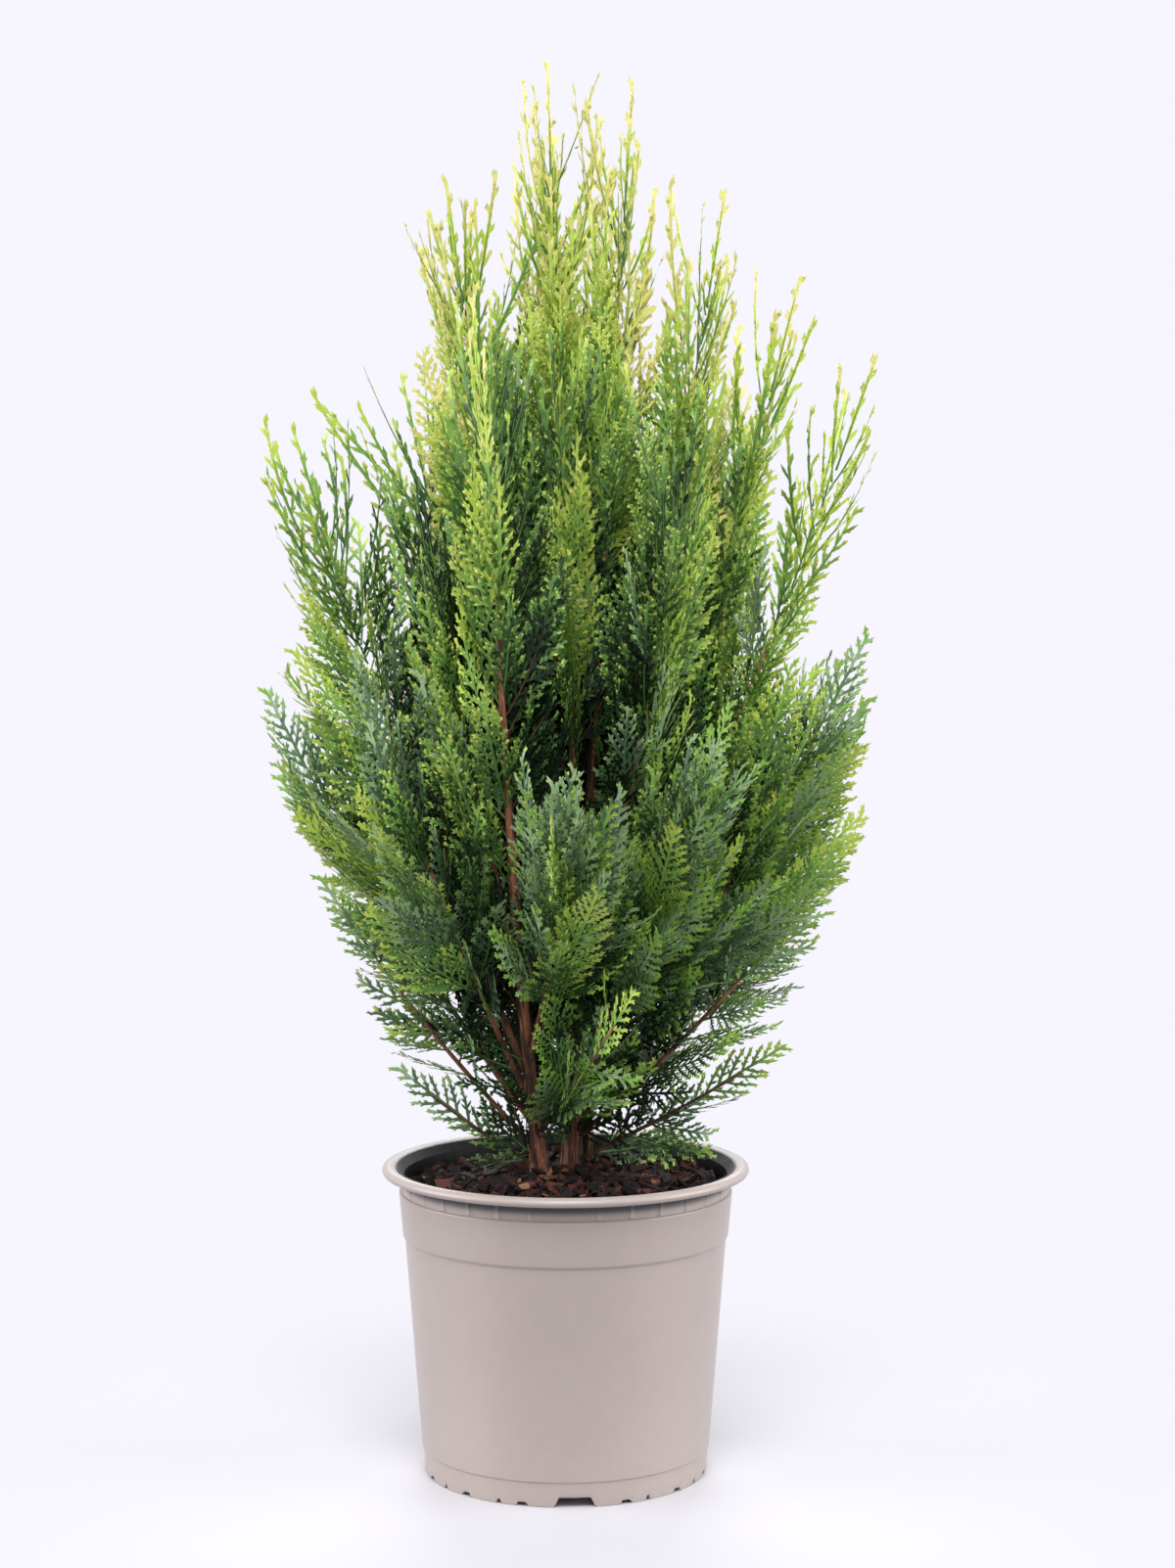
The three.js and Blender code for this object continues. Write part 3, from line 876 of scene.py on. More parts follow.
BOUGHS = (
    Shoot("far_left", (-0.140, 0.010, 0.539), 0.092, 0.3, "left", 0.205, gold=0.09, full=1.2, splay=30.0),
    Shoot("left_shoulder", (-0.061, 0.012, 0.664), 0.092, 0.36, "middle", 0.236, gold=0.04, full=1.35),
    Shoot("left_inner", (-0.072, -0.048, 0.510), 0.082, 0.36, "left", 0.252, bloom=0.3),
    Shoot("left_low", (-0.103, -0.066, 0.424), 0.092, 0.26, "left", 0.190, bloom=0.8, gold=-0.03),
    Shoot(
        "left_outer", (-0.153, -0.004, 0.404), 0.100, 0.3, "left", 0.181,
        bloom=0.7, gold=0.04, full=1.2, splay=12.0, headroom=0.055,
    ),
    Shoot("front", (-0.002, -0.046, 0.588), 0.082, 0.36, "right", 0.246, bloom=0.5, gold=0.06),
    Shoot(
        "front_low", (0.012, -0.130, 0.392), 0.070, 0.24, "left", 0.214,
        bloom=0.95, gold=0.08, full=1.5, splay=-14.0,
    ),
    Shoot(
        "right_inner", (0.080, -0.097, 0.401), 0.078, 0.26, "right", 0.194,
        bloom=0.75, gold=0.13, full=1.4, splay=-12.0,
    ),
    Shoot("right_front", (0.067, -0.075, 0.555), 0.092, 0.32, "right", 0.219, bloom=0.5, gold=0.08),
    Shoot("right_shoulder", (0.082, 0.020, 0.660), 0.092, 0.36, "right", 0.268, gold=0.05),
    Shoot("right_outer", (0.121, 0.028, 0.616), 0.086, 0.34, "right", 0.236, gold=0.1, full=0.85),
    Shoot("far_right", (0.157, -0.012, 0.573), 0.092, 0.3, "right", 0.208, gold=0.2, full=0.64, splay=6.0),
    Shoot("right_low", (0.155, 0.006, 0.432), 0.092, 0.28, "right", 0.182, bloom=0.7, gold=0.1, full=1.65),
    Shoot("low_left", (-0.124, -0.024, 0.310), 0.082, 0.3, "left", 0.168, bloom=0.85, gold=0.06, full=0.38),
    Shoot("low_right", (0.143, -0.016, 0.322), 0.082, 0.3, "right", 0.169, bloom=0.9, gold=0.04, full=0.7),
    Shoot("back_high", (0.016, 0.062, 0.650), 0.092, 0.36, "middle", 0.262),
    Shoot("back_left", (-0.088, 0.076, 0.570), 0.094, 0.32, "middle", 0.208),
    Shoot("back_right", (0.086, 0.084, 0.562), 0.094, 0.32, "right", 0.252),
    Shoot("back", (-0.004, 0.118, 0.528), 0.094, 0.32, "middle", 0.226),
    Shoot("back_low_left", (-0.104, 0.092, 0.410), 0.094, 0.28, "middle", 0.182, bloom=0.75),
    Shoot("back_low_right", (0.106, 0.094, 0.415), 0.094, 0.3, "middle", 0.192, bloom=0.75),
    Shoot("back_low", (0.004, 0.140, 0.376), 0.092, 0.28, "middle", 0.170, bloom=0.75),
)

SKIRTS = tuple(
    Shoot(f"skirt_{side}", tip, reach, 0.0, stem, at, spread=0.6, rise=0.52, **habit)
    for side, tip, reach, stem, at, habit in (
        ("left", (-0.084, -0.034, 0.214), 0.072, "left", 0.158, {"bloom": 0.75, "gold": 0.02, "full": 0.3}),
        ("right", (0.112, -0.010, 0.222), 0.074, "right", 0.158, {"bloom": 0.8, "gold": -0.04, "full": 0.6}),
        (
            "front", (0.034, -0.098, 0.262), 0.072, "left", 0.176,
            {"bloom": 0.8, "gold": 0.2, "full": 1.1, "splay": -16.0},
        ),
        ("back", (-0.014, 0.116, 0.250), 0.072, "middle", 0.163, {"bloom": 0.6, "full": 0.8}),
    )
)

SHOOTS = (*STEMS, *BOUGHS, *SKIRTS)

# Where a stem shows between the plumes: its name, from and up to which height, and how far to each side.
WINDOWS = (
    ("left", 0.200, 0.262, 0.0055),
    ("left", 0.300, 0.345, 0.0050),
    ("left", 0.375, 0.405, 0.0045),
    ("right", 0.345, 0.385, 0.0050),
    ("right", 0.420, 0.470, 0.0050),
)


@dataclass
class Framework:
    """The stems and boughs: their paths, thickness and barked meshes.

    A limb's two numbers are the share of its path where it stops and how many sides it has.
    """

    soil_top: float = 0.152
    buried: float = 0.005
    stem_radius: float = 0.0044
    stem_taper: float = 1.9
    flare: float = 1.35
    flare_height: float = 0.016
    bough_radius_min: float = 0.0009
    bough_radius_per_length: float = 0.0028
    bough_tip_share: float = 0.35
    stem_limb: tuple[float, int] = (0.66, 22)
    bough_limb: tuple[float, int] = (0.62, 12)
    low_limb: tuple[float, int] = (0.8, 8)
    ring_pitch: float = 0.003
    relief: float = 0.13
    ridges: tuple[int, ...] = (2, 3, 5, 7)
    ridge_drift: float = 55.0
    knots: Band = (150, 420)
    closing: float = 0.02
    seed: int = 21
    bark: BarkFinish = BarkFinish(
        "reddish_bark", linear((64, 43, 34)), linear((182, 121, 91)), 0.85, 55.0,
        stretch=(3.0, 3.0, 0.4), bump=0.9, bump_depth=0.0012,
    )
    paths: dict[str, RisingPath] = field(default_factory=dict)

    def __post_init__(self) -> None:
        """Work out every path."""
        for shoot in SHOOTS:
            root = np.array([*shoot.foot, self.soil_top - self.buried])
            if shoot.stem:
                carrier = self.paths[shoot.stem]
                root = carrier.at(carrier.share_at_height(shoot.at))
            self.paths[shoot.name] = RisingPath(root, np.array(shoot.tip), shoot.spread, shoot.rise)

    def radius(self, shoot: Shoot, share: Array) -> Array:
        """Give a shoot's thickness: a stem flares at the soil, and a longer bough has a thicker root.

        Args:
            shoot: The stem, bough or low shoot.
            share: Shares of its length.

        Returns:
            Its radius there.
        """
        length = self.paths[shoot.name].length
        if shoot.stem:
            thick = self.bough_radius_min + self.bough_radius_per_length * length
            return thick * lerp(1.0, self.bough_tip_share, share)
        flare = (self.flare - 1.0) * np.exp(-share * length / self.flare_height)
        return self.stem_radius * np.exp(-self.stem_taper * share) * (1.0 + flare)

    def tube(self, shoot: Shoot, end: float, sides: int, random: Random) -> tuple[Array, Array]:
        """Make a barked limb along the first part of a shoot's path.

        Args:
            shoot: The stem, bough or low shoot.
            end: The share of the path where the limb stops.
            sides: How many sides it has.
            random: Random numbers for the bark's ridges.

        Returns:
            Corners and quads of the limb.
        """
        path = self.paths[shoot.name]
        rings = max(12, int(path.length * end / self.ring_pitch))
        share = np.linspace(0.0, end, rings)
        angle = bearings(sides)
        along = share[:, None] * path.length
        ridges = np.zeros((rings, sides))
        for waves in self.ridges:
            drift, phase = random.normal(0.0, self.ridge_drift), random.random() * 2 * math.pi
            ridges += np.sin(waves * angle + drift * along + phase) / 4
            ridges += 0.5 * np.sin(random.uniform(*self.knots) * along + waves * angle + phase) / 4
        radius = self.radius(shoot, share)[:, None] * (1.0 + self.relief * ridges)
        radius *= np.clip((end - share)[:, None] / self.closing, 0.35, 1.0)
        around = swung(angle, path.side, path.face(share)[:, None])
        corners = path.at(share)[:, None] + radius[..., None] * around
        return corners.reshape(-1, 3), grid_faces(rings, sides)

    def build(self, name: str, shoots: Sequence[Shoot], end: float, sides: int) -> Object:
        """Join the limbs of several shoots into one piece.

        Args:
            name: The piece's name.
            shoots: The stems, boughs or low shoots.
            end: The share of each one's path where its limb stops.
            sides: How many sides each limb has.

        Returns:
            The joined object.
        """
        random = np.random.default_rng(self.seed)
        corners, faces, first = [], [], 0
        for shoot in shoots:
            places, quads = self.tube(shoot, end, sides, random)
            corners.append(places)
            faces.append(quads + first)
            first += len(places)
        return joined_mesh(name, np.concatenate(corners), [np.concatenate(faces)])

    def build_and_dress(self, mottle: NodeTree) -> None:
        """Make the barked stems, boughs and low shoots.

        Args:
            mottle: The shared mottle group.
        """
        material = self.bark.material(mottle)
        for stem in STEMS:
            piece = self.build(f"barked_{stem.name}_stem", [stem], *self.stem_limb)
            settle(piece, material, "bark", f"stem_{stem.name}")
        piece = self.build("barked_boughs", BOUGHS, *self.bough_limb)
        settle(piece, material, "bark", *(f"bough_{bough.name}" for bough in BOUGHS))
        settle(self.build("barked_low_shoots", SKIRTS, *self.low_limb), material, "bark")


@dataclass
class BarkStrips:
    """Strips of old bark that peel from the lower stems, each loose at one end."""

    each: int = 64
    heights: Band = (0.150, 0.44)
    lengths: Band = (0.010, 0.036)
    widest: float = 0.0024
    gap: float = 0.0002
    lift: float = 0.0014
    wander: float = 0.3
    links: int = 8
    seed: int = 31
    finishes: tuple[Finish, ...] = (
        Finish("rust_bark", linear((88, 54, 42)), linear((172, 110, 84)), 0.85, 60.0, (3.0, 3.0, 0.5)),
        Finish("grey_bark", linear((40, 31, 27)), linear((92, 70, 58)), 0.9, 60.0, (3.0, 3.0, 0.5)),
    )

    def build(self, name: str, framework: Framework, seed: int) -> Object:
        """Lay strips along the stems.

        Args:
            name: The piece's name.
            framework: The paths of the stems and their thickness.
            seed: Where the random numbers start.

        Returns:
            All the strips joined.
        """
        random = np.random.default_rng(seed)
        along = np.linspace(0.0, 1.0, self.links)
        one_each = (self.each, 1)
        corners = []
        for stem in STEMS:
            path = framework.paths[stem.name]
            start = path.share_at_height(lerp(*self.heights, random.random(self.each) ** 1.6))
            length, size, loose = random.random((3, *one_each))
            share = start[:, None] + lerp(*self.lengths, length) / path.length * along
            bearing = random.uniform(0.0, FULL_TURN, one_each)
            bearing = bearing + random.normal(0.0, self.wander, one_each) * along
            free = np.where(random.random(one_each) < 0.5, along, 1.0 - along)
            radius = framework.radius(stem, share) * 1.05 + self.gap + self.lift * loose * free ** 3
            width = self.widest * lerp(0.3, 1.0, size) * np.sin(math.pi * (0.1 + 0.82 * along))
            face = path.face(share)
            middle = path.at(share) + radius[..., None] * swung(bearing, path.side, face)
            half = width[..., None] * swung(bearing, face, -path.side) / 2
            corners.append(np.stack([middle - half, middle + half], axis=2))
        places = np.concatenate(corners).reshape(-1, 3)
        link = 2 * np.arange(self.links - 1)[:, None] + np.array([0, 1, 3, 2])
        first = 2 * self.links * np.arange(len(places) // (2 * self.links))
        return joined_mesh(name, places, [(first[:, None, None] + link).reshape(-1, 4)])

    def build_and_dress(self, framework: Framework, mottle: NodeTree) -> None:
        """Make the strips of each colour.

        Args:
            framework: The paths of the stems and their thickness.
            mottle: The shared mottle group.
        """
        for step, finish in enumerate(self.finishes):
            piece = self.build(f"{finish.name}_strips", framework, self.seed + step)
            settle(piece, finish.material(mottle), "bark")


# The crown


@dataclass
class Axes:
    """Curved axes of shoots, one row for each in every array.

    Bend is how far an axis has turned aside at its end, as a share of its length. Flat is square to the spray
    that it lies in. Slender is 0 for a fan and 1 for a whip. Light is how sunlit its foot is, gain how much
    lighter its tip is, and bloom whether it has a blue-green bloom.
    """

    root: Array
    heading: Array
    bend: Array
    flat: Array
    length: Array
    slender: Array
    light: Array
    gain: Array
    bloom: Array

    def chosen(self, kept: Array) -> Axes:
        """Give only the axes in the rows that are kept."""
        return Axes(**{key: rows[kept] for key, rows in vars(self).items()})

    def point(self, row: Array, share: Array) -> Array:
        """Give points at shares of the length of the axes in the given rows."""
        step = share[:, None] * self.heading[row] + (share ** 2)[:, None] * self.bend[row]
        return self.root[row] + self.length[row][:, None] * step

    def direction(self, row: Array, share: Array) -> Array:
        """Give the directions at shares of the length of the axes in the given rows."""
        return unit(self.heading[row] + 2 * share[:, None] * self.bend[row])

    def light_at(self, row: Array, share: Array) -> Array:
        """Give how sunlit the axes in the given rows are at shares of their length."""
        return self.light[row] + self.gain[row] * smoothstep((0.55, 1.0), share)


@dataclass(frozen=True)
class Branching:
    """How side shoots leave an axis: alternately, in its spray's plane, shorter towards its tip.

    Pitches are along the parent, both sides together; parts are shares of the parent's length. The slender
    values hold for whips, the others for fans.
    """

    pitch: float
    slender_pitch: float
    base_deg: float
    tip_deg: float
    slender_deg: float
    part: float
    slender_part: float
    shortest: float
    longest: float
    bare: float = 0.07
    twist: float = 0.6
    uneven_deg: float = 4.0
    waver: float = 0.05
    curl: float = 0.16
    uneven_light: float = 0.02
    gain_kept: float = 1.2

    def grow(self, parent: Axes, random: Random) -> Axes:
        """Grow the side shoots of all the axes.

        Args:
            parent: The axes that carry them.
            random: Random numbers.

        Returns:
            The side shoots as axes.
        """
        pitch = lerp(self.pitch, self.slender_pitch, parent.slender)
        counts = np.maximum(1, np.round(parent.length * (1.0 - self.bare) / pitch)).astype(int)
        row, place = count_up(counts)
        number = len(row)
        share = self.bare + (1.0 - self.bare) * (place + random.uniform(0.25, 0.75, number)) / counts[row]
        slender, flat = parent.slender[row], parent.flat[row]
        axis = parent.direction(row, share)
        across = swung(slender * random.normal(0.0, self.twist, number), unit(np.cross(flat, axis)), flat)
        hand = np.where(place % 2 == 0, 1.0, -1.0)
        angle = lerp(lerp(self.base_deg, self.tip_deg, share), self.slender_deg, slender)
        angle = np.radians(angle + random.normal(0.0, self.uneven_deg, number))
        heading = swung(hand * angle, axis, across)
        heading = unit(heading + flat * random.normal(0.0, self.waver, number)[:, None])
        taper = np.minimum(1.0, 0.5 + 1.8 * share) * (1.04 - share) ** 0.8
        part = lerp(self.part, self.slender_part, slender)
        length = part * parent.length[row] * taper * random.uniform(0.75, 1.12, number)
        return Axes(
            root=parent.point(row, share),
            heading=heading,
            bend=self.curl * square_to(heading, axis),
            flat=flat,
            length=np.clip(length, self.shortest, self.longest),
            slender=slender,
            light=parent.light_at(row, share) + random.normal(0.0, self.uneven_light, number),
            gain=parent.gain[row] * self.gain_kept,
            bloom=parent.bloom[row],
        )


class LeafHeap:
    """Straps of scale leaves, gathered as rows of arrays and dealt out by tone; a tip has its own tone."""

    blade = np.array([[0.0, -0.34, 0.0], [0.0, 0.34, 0.0], [0.62, 0.5, -0.06], [0.62, -0.5, -0.06]])
    tip = np.array([[0.62, -0.5, -0.06], [0.62, 0.5, -0.06], [1.0, 0.0, 0.08]])

    def __init__(self) -> None:
        """Start with no leaves."""
        self.rows: list[tuple[Array, ...]] = []

    def add(
        self, base: Array, ahead: Array, above: Array, length: Array, width: Array, *tones: Array
    ) -> None:
        """Add straps of scale leaves.

        Args:
            base: Where each strap starts.
            ahead: Which way it points.
            above: Which way its upper face looks.
            length: How long it is.
            width: How wide it is.
            tones: The numbers of its blade's tone and of its tip's tone.
        """
        self.rows.append((base, ahead, above, length, width, *tones))

    def build(self, tone: Tone, number: int) -> list[Object]:
        """Make the blades and the tips of one tone as joined meshes.

        Args:
            tone: The tone.
            number: The tone's number.

        Returns:
            As many objects as the limit on triangles needs.
        """
        made = []
        for name, outline, dealt in (("leaves", self.blade, 5), ("tips", self.tip, 6)):
            base, ahead, above, length, width = (
                np.concatenate([row[column][row[dealt] == number] for row in self.rows])
                for column in range(5)
            )
            aside = unit(np.cross(above, ahead))
            sizes = np.stack([length, width, width], axis=-1)
            frame = np.stack([ahead, aside, np.cross(ahead, aside)], axis=1)
            corners = base[:, None] + (outline[None] * sizes[:, None]) @ frame
            sides = len(outline)
            batch = MOST_TRIANGLES // (sides - 2)
            for part, first in enumerate(range(0, len(corners), batch)):
                chosen = corners[first:first + batch].reshape(-1, 3)
                faces = np.arange(len(chosen)).reshape(-1, sides)
                made.append(joined_mesh(f"{name}_{tone.name.lower()}_{part + 1}", chosen, [faces]))
        return made


@dataclass(frozen=True)
class Outline:
    """The space that the crown fills: shares of its full width by height, and a dome over it."""

    half_width: float = 0.157
    half_depth: float = 0.148
    low_shift: float = 0.008
    unshifted: Band = (0.30, 0.42)
    width_shares: tuple[Band, ...] = (
        (0.166, 0.45), (0.205, 0.58), (0.242, 0.70), (0.290, 0.80), (0.340, 0.93), (0.380, 1.0),
        (0.560, 1.0), (0.620, 0.82), (0.665, 0.62), (0.722, 0.3),
    )
    top: float = 0.722
    dome_slope: float = 1.15
    dome_flat: float = 0.018

    def outwardness(self, points: Array) -> Array:
        """Give how far out points lie.

        Args:
            points: Places in or near the crown.

        Returns:
            0 for a point on the axis, 1 for one on the outline.
        """
        middle = self.low_shift * (1.0 - smoothstep(self.unshifted, points[:, 2]))
        reach = np.hypot((points[:, 0] - middle) / self.half_width, points[:, 1] / self.half_depth)
        return reach / np.interp(points[:, 2], *np.array(self.width_shares).T)

    def dome(self, points: Array) -> Array:
        """Give how high the crown may reach above each point's place, seen from above."""
        reach = np.hypot(points[:, 0], points[:, 1])
        return self.top - self.dome_slope * np.maximum(0.0, reach - self.dome_flat)


@dataclass(frozen=True)
class Sunlight:
    """How sunlight and bloom fall on sprays, from the shaded heart of the crown to its open outside.

    Each band with a value beside it is where that value comes in: heights for the top and the foot of the
    crown, and shares of open sky for the outside. Pairs of values hold for the foot and the top.
    """

    foot: float = 0.16
    rise: float = 0.56
    dome_depth: float = 0.16
    facing: float = 0.9
    facing_band: Band = (0.0, 0.8)
    shade: float = -0.17
    height: float = 0.10
    height_squared: float = 0.50
    outside: Band = (0.45, 0.44)
    outside_band: Band = (0.42, 0.98)
    top: float = 0.36
    top_band: Band = (0.47, 0.63)
    low: float = 0.05
    low_band: Band = (0.26, 0.42)
    uneven: float = 0.06
    whip_loss: float = 0.08
    gain: Band = (0.64, 0.62)
    gain_inside: float = 0.08
    gain_divisor: float = 2.2
    brightest: Band = (0.98, 1.9)
    brightest_band: Band = (0.44, 0.70)
    bloom: Band = (0.95, 0.05)
    bloom_band: Band = (0.40, 0.54)
    bloom_outside: Band = (0.2, 0.75)

    def fall(
        self, outline: Outline, end: Array, facing: Array, slender: Array, shoot: Shoot, random: Random
    ) -> tuple[Array, Array, Array]:
        """Light the sprays of one shoot.

        Args:
            outline: The crown's outline.
            end: Where each spray ends.
            facing: How far it faces out of the crown.
            slender: How far it is a whip.
            shoot: The shoot that carries them.
            random: Random numbers.

        Returns:
            How sunlit each spray is, how much lighter its tip is, and how likely it has a bloom.
        """
        height = end[:, 2]
        high = np.clip((height - self.foot) / self.rise, 0.0, 1.0)
        near_dome = np.clip(1.0 - (outline.dome(end) - height) / self.dome_depth, 0.0, 1.0)
        open_sky = np.maximum(np.clip(outline.outwardness(end), 0.0, 1.0), near_dome)
        open_sky = np.maximum(open_sky, self.facing * smoothstep(self.facing_band, facing))
        light = self.shade + self.height * high + self.height_squared * high ** 2.0 + shoot.gold
        light += lerp(*self.outside, high) * smoothstep(self.outside_band, open_sky)
        by_zone = self.top * smoothstep(self.top_band, height)
        light += by_zone + self.low * (1.0 - smoothstep(self.low_band, height))
        light += random.normal(0.0, self.uneven, len(end)) - self.whip_loss * slender
        brightest = lerp(*self.brightest, smoothstep(self.brightest_band, height))
        gain = lerp(*self.gain, high) * lerp(self.gain_inside, 1.0, open_sky)
        gain = np.minimum(gain, (brightest - light) / self.gain_divisor)
        bloom = shoot.bloom * lerp(*self.bloom, smoothstep(self.bloom_band, height))
        return light, np.maximum(gain, 0.0), bloom * smoothstep(self.bloom_outside, open_sky)


@dataclass(frozen=True)
class PlumeHabit:
    """How the sprays of a plume stand on their shoot.

    Low, wide and tall are bands of the tip's height, deep one of the spray's own foot. A lean is in degrees
    from the shoot; crowding is how many more sprays stand there. Fans turn into whips over a band of shares.
    """

    pitch: float = 0.0052
    leader: float = 0.060
    clothed_from: float = 0.72
    skirt_clothed_from: float = 0.1
    low_tips: Band = (0.24, 0.42)
    wide_tips: Band = (0.36, 0.56)
    tall_tips: Band = (0.40, 0.58)
    deep_feet: Band = (0.20, 0.36)
    low_crowding: float = 0.7
    tall_crowding: float = 1.3
    leans: Band = (47.0, 25.0)
    deep_leans: Band = (9.0, 5.0)
    wide_tip_lean: float = 12.0
    lean_power: float = 0.8
    uneven_lean: float = 6.0
    whips: Band = (0.1, 1.0)
    whip_band: Band = (0.52, 0.95)
    uneven_whips: float = 0.13
    fan_lengths: Band = (1.05, 0.7)
    uneven_fans: Band = (0.7, 1.1)
    tall_fans: float = 0.9
    whip_lengths: Band = (0.080, 0.145)
    fan_upturn: float = 0.32
    deep_upturn: float = 0.06
    whip_upturn: float = 0.14
    uneven_upturn: float = 0.06
    below_top: float = 0.05
    trims: int = 9
    trim: float = 0.87
    shortest: float = 0.02
    whip_from: float = 0.6
    whips_kept: float = 0.86


@dataclass(frozen=True)
class FeatherHabit:
    """How the short inner sprays stand along the bare part of a shoot."""

    first: float = 0.03
    last: float = 0.85
    pitch: float = 0.0085
    crowding_power: float = 1.3
    leans: Band = (45.0, 78.0)
    lengths: Band = (0.030, 0.068)
    lowest: float = 0.168
    cut: float = 0.35
    bend: Band = (0.1, 0.06)
    light: Band = (0.04, 0.05)
    facing_light: float = 0.14
    facing_band: Band = (0.1, 0.9)
    gains: Band = (0.03, 0.18)
    bloom: float = 0.2


@dataclass
class Crown:
    """Plumes of flat sprays: sprays round shoots, branchlets on sprays and straps of scale leaves."""

    outline: Outline = Outline()
    sunlight: Sunlight = Sunlight()
    habit: PlumeHabit = PlumeHabit()
    inner: FeatherHabit = FeatherHabit()
    first_turn: float = 6.3
    uneven_turn: float = 0.3
    roll_deg: float = 25.0
    faced_out: float = 0.42
    faced_out_deg: float = 80.0
    outer_hug: float = 0.25
    branchlets: Branching = Branching(
        pitch=0.0029, slender_pitch=0.0086, base_deg=46.0, tip_deg=35.0, slender_deg=22.0,
        part=0.42, slender_part=0.14, shortest=0.005, longest=0.027,
    )
    shoots: Branching = Branching(
        pitch=0.0018, slender_pitch=0.0062, base_deg=41.0, tip_deg=34.0, slender_deg=26.0,
        part=0.36, slender_part=0.42, shortest=0.0026, longest=0.0074, bare=0.10,
    )
    spray_bare: float = 0.3
    link: float = 0.0052
    overlap: float = 1.5
    strap_widths: Band = (0.00172, 0.0021)
    narrowed: float = 0.74
    narrowed_band: Band = (0.28, 0.46)
    dulled: Band = (0.05, 0.26)
    uneven_face: float = 0.16
    uneven_light: float = 0.07
    tip_lift: float = 0.27
    tip_lifts: Band = (0.3, 1.2)
    tip_lift_band: Band = (0.15, 0.65)
    tone_steps: tuple[float, ...] = (0.12, 0.28, 0.44, 0.60, 0.90)
    sunny: tuple[Tone, ...] = (Tone.SHADE, Tone.DEEP, Tone.MID, Tone.FRESH, Tone.LIME, Tone.GOLD)
    misty: tuple[Tone, ...] = (
        Tone.SHADE, Tone.BLUE_DEEP, Tone.BLUE_DEEP, Tone.BLUE_PALE, Tone.FRESH, Tone.LIME,
    )
    leaf_roughness: float = 0.5
    twig_radius: float = 0.0006
    twig_taper: float = 0.9
    twig_rings: int = 6
    twig_sides: int = 4
    twig_ends: Band = (0.5, 0.95)
    green_from: Band = (0.35, 0.12)
    green_twigs: PlainFinish = PlainFinish("green_twigs", Tone.MID.colour, 0.6)
    brown_twigs: PlainFinish = PlainFinish("brown_twigs", linear((78, 56, 40)), 0.75)
    seed: int = 3

    def spread(self, path: RisingPath, at: Array, lean: Array, random: Random) -> tuple[Array, ...]:
        """Set sprays round a path by the golden turn.

        Args:
            path: The path of the shoot that carries them.
            at: The share of the path where each one leaves.
            lean: How far each one leans away from the path.
            random: Random numbers.

        Returns:
            The roots, the headings, the way each one turns up, the way its flat side looks, and how far it
            faces out of the crown.
        """
        count = len(at)
        root, along = path.at(at), path.along(at)
        turn = np.arange(count) * GOLDEN_TURN + random.random() * self.first_turn
        turn = turn + random.normal(0.0, self.uneven_turn, count)
        out = swung(turn, path.side, path.face(at))
        facing = np.sum(out * unit(root * np.array([1.0, 1.0, 0.0])), axis=1)
        heading = swung(lean * (1.0 - self.outer_hug * np.clip(facing, 0.0, 1.0)), along, out)
        lift = unit(square_to(heading, lerp(along, UP, 0.5)))
        roll = np.radians(self.roll_deg) * random.normal(0.0, 1.0, count)
        roll += np.where(random.random(count) < self.faced_out, math.radians(self.faced_out_deg), 0.0)
        roll[-1] = 0.0
        flat = swung(roll, unit(np.cross(heading, lift)), lift)
        return root, heading, lift, flat, facing

    def trimmed(self, root: Array, step: Array, length: Array, top: float, below: Array) -> Array:
        """Shorten the sprays of a plume, all but its leader, until they end inside the crown.

        Args:
            root: Where each spray starts.
            step: Its way from root to end, for a length of one.
            length: How long it is.
            top: How high the plume may reach.
            below: How far each spray stays below that.

        Returns:
            The new lengths.
        """
        for _ in range(self.habit.trims):
            end = root + step * length[:, None]
            ceiling = np.minimum(top, self.outline.dome(end)) - below
            beyond = (self.outline.outwardness(end) > 1.0) | (end[:, 2] > ceiling)
            beyond[-1] = False
            length = np.where(beyond, np.maximum(self.habit.shortest, length * self.habit.trim), length)
        return length

    def plume(self, shoot: Shoot, path: RisingPath, random: Random) -> Axes:
        """Clothe one shoot above its bare part, with sprays that lean out less towards its tip.

        Args:
            shoot: The stem, bough or low shoot.
            path: Its path.
            random: Random numbers.

        Returns:
            The plume's sprays, of which the last is the leader.
        """
        habit, tip = self.habit, np.array(shoot.tip)
        low, wide = (1.0 - smoothstep(band, tip[2]) for band in (habit.low_tips, habit.wide_tips))
        tall = smoothstep(habit.tall_tips, tip[2])
        start = shoot.bare * habit.clothed_from if shoot.bare else habit.skirt_clothed_from
        number = path.length * (1.0 - start) / habit.pitch * lerp(1.0, habit.low_crowding, low)
        count = int(number * lerp(1.0, habit.tall_crowding, tall) * shoot.full) + 1
        share = spaced(count, random)
        share[-1] = 1.0
        at = lerp(start, 1.0 - habit.leader / path.length, share)
        deep = 1.0 - smoothstep(habit.deep_feet, path.at(at)[:, 2])
        base_lean, tip_lean = habit.leans
        tip_lean = tip_lean + habit.wide_tip_lean * wide + habit.deep_leans[1] * deep
        lean = lerp(base_lean + habit.deep_leans[0] * deep, tip_lean, share ** habit.lean_power)
        lean = lean + shoot.splay * (1.0 - share ** 2) + random.normal(0.0, habit.uneven_lean, count)
        lean = np.radians(np.where(share < 1.0, lean, 0.0))
        root, heading, lift, flat, facing = self.spread(path, at, lean, random)
        heading[-1] = unit(tip - root[-1])
        slender = lerp(*habit.whips, tall) * smoothstep(habit.whip_band, share)
        slender = np.clip(slender + tall * random.normal(0.0, habit.uneven_whips, count), 0.0, 1.0)
        swell = np.minimum(1.0, 0.62 + 0.5 * np.sin(math.pi * np.minimum(1.0, 0.2 + 0.95 * share)))
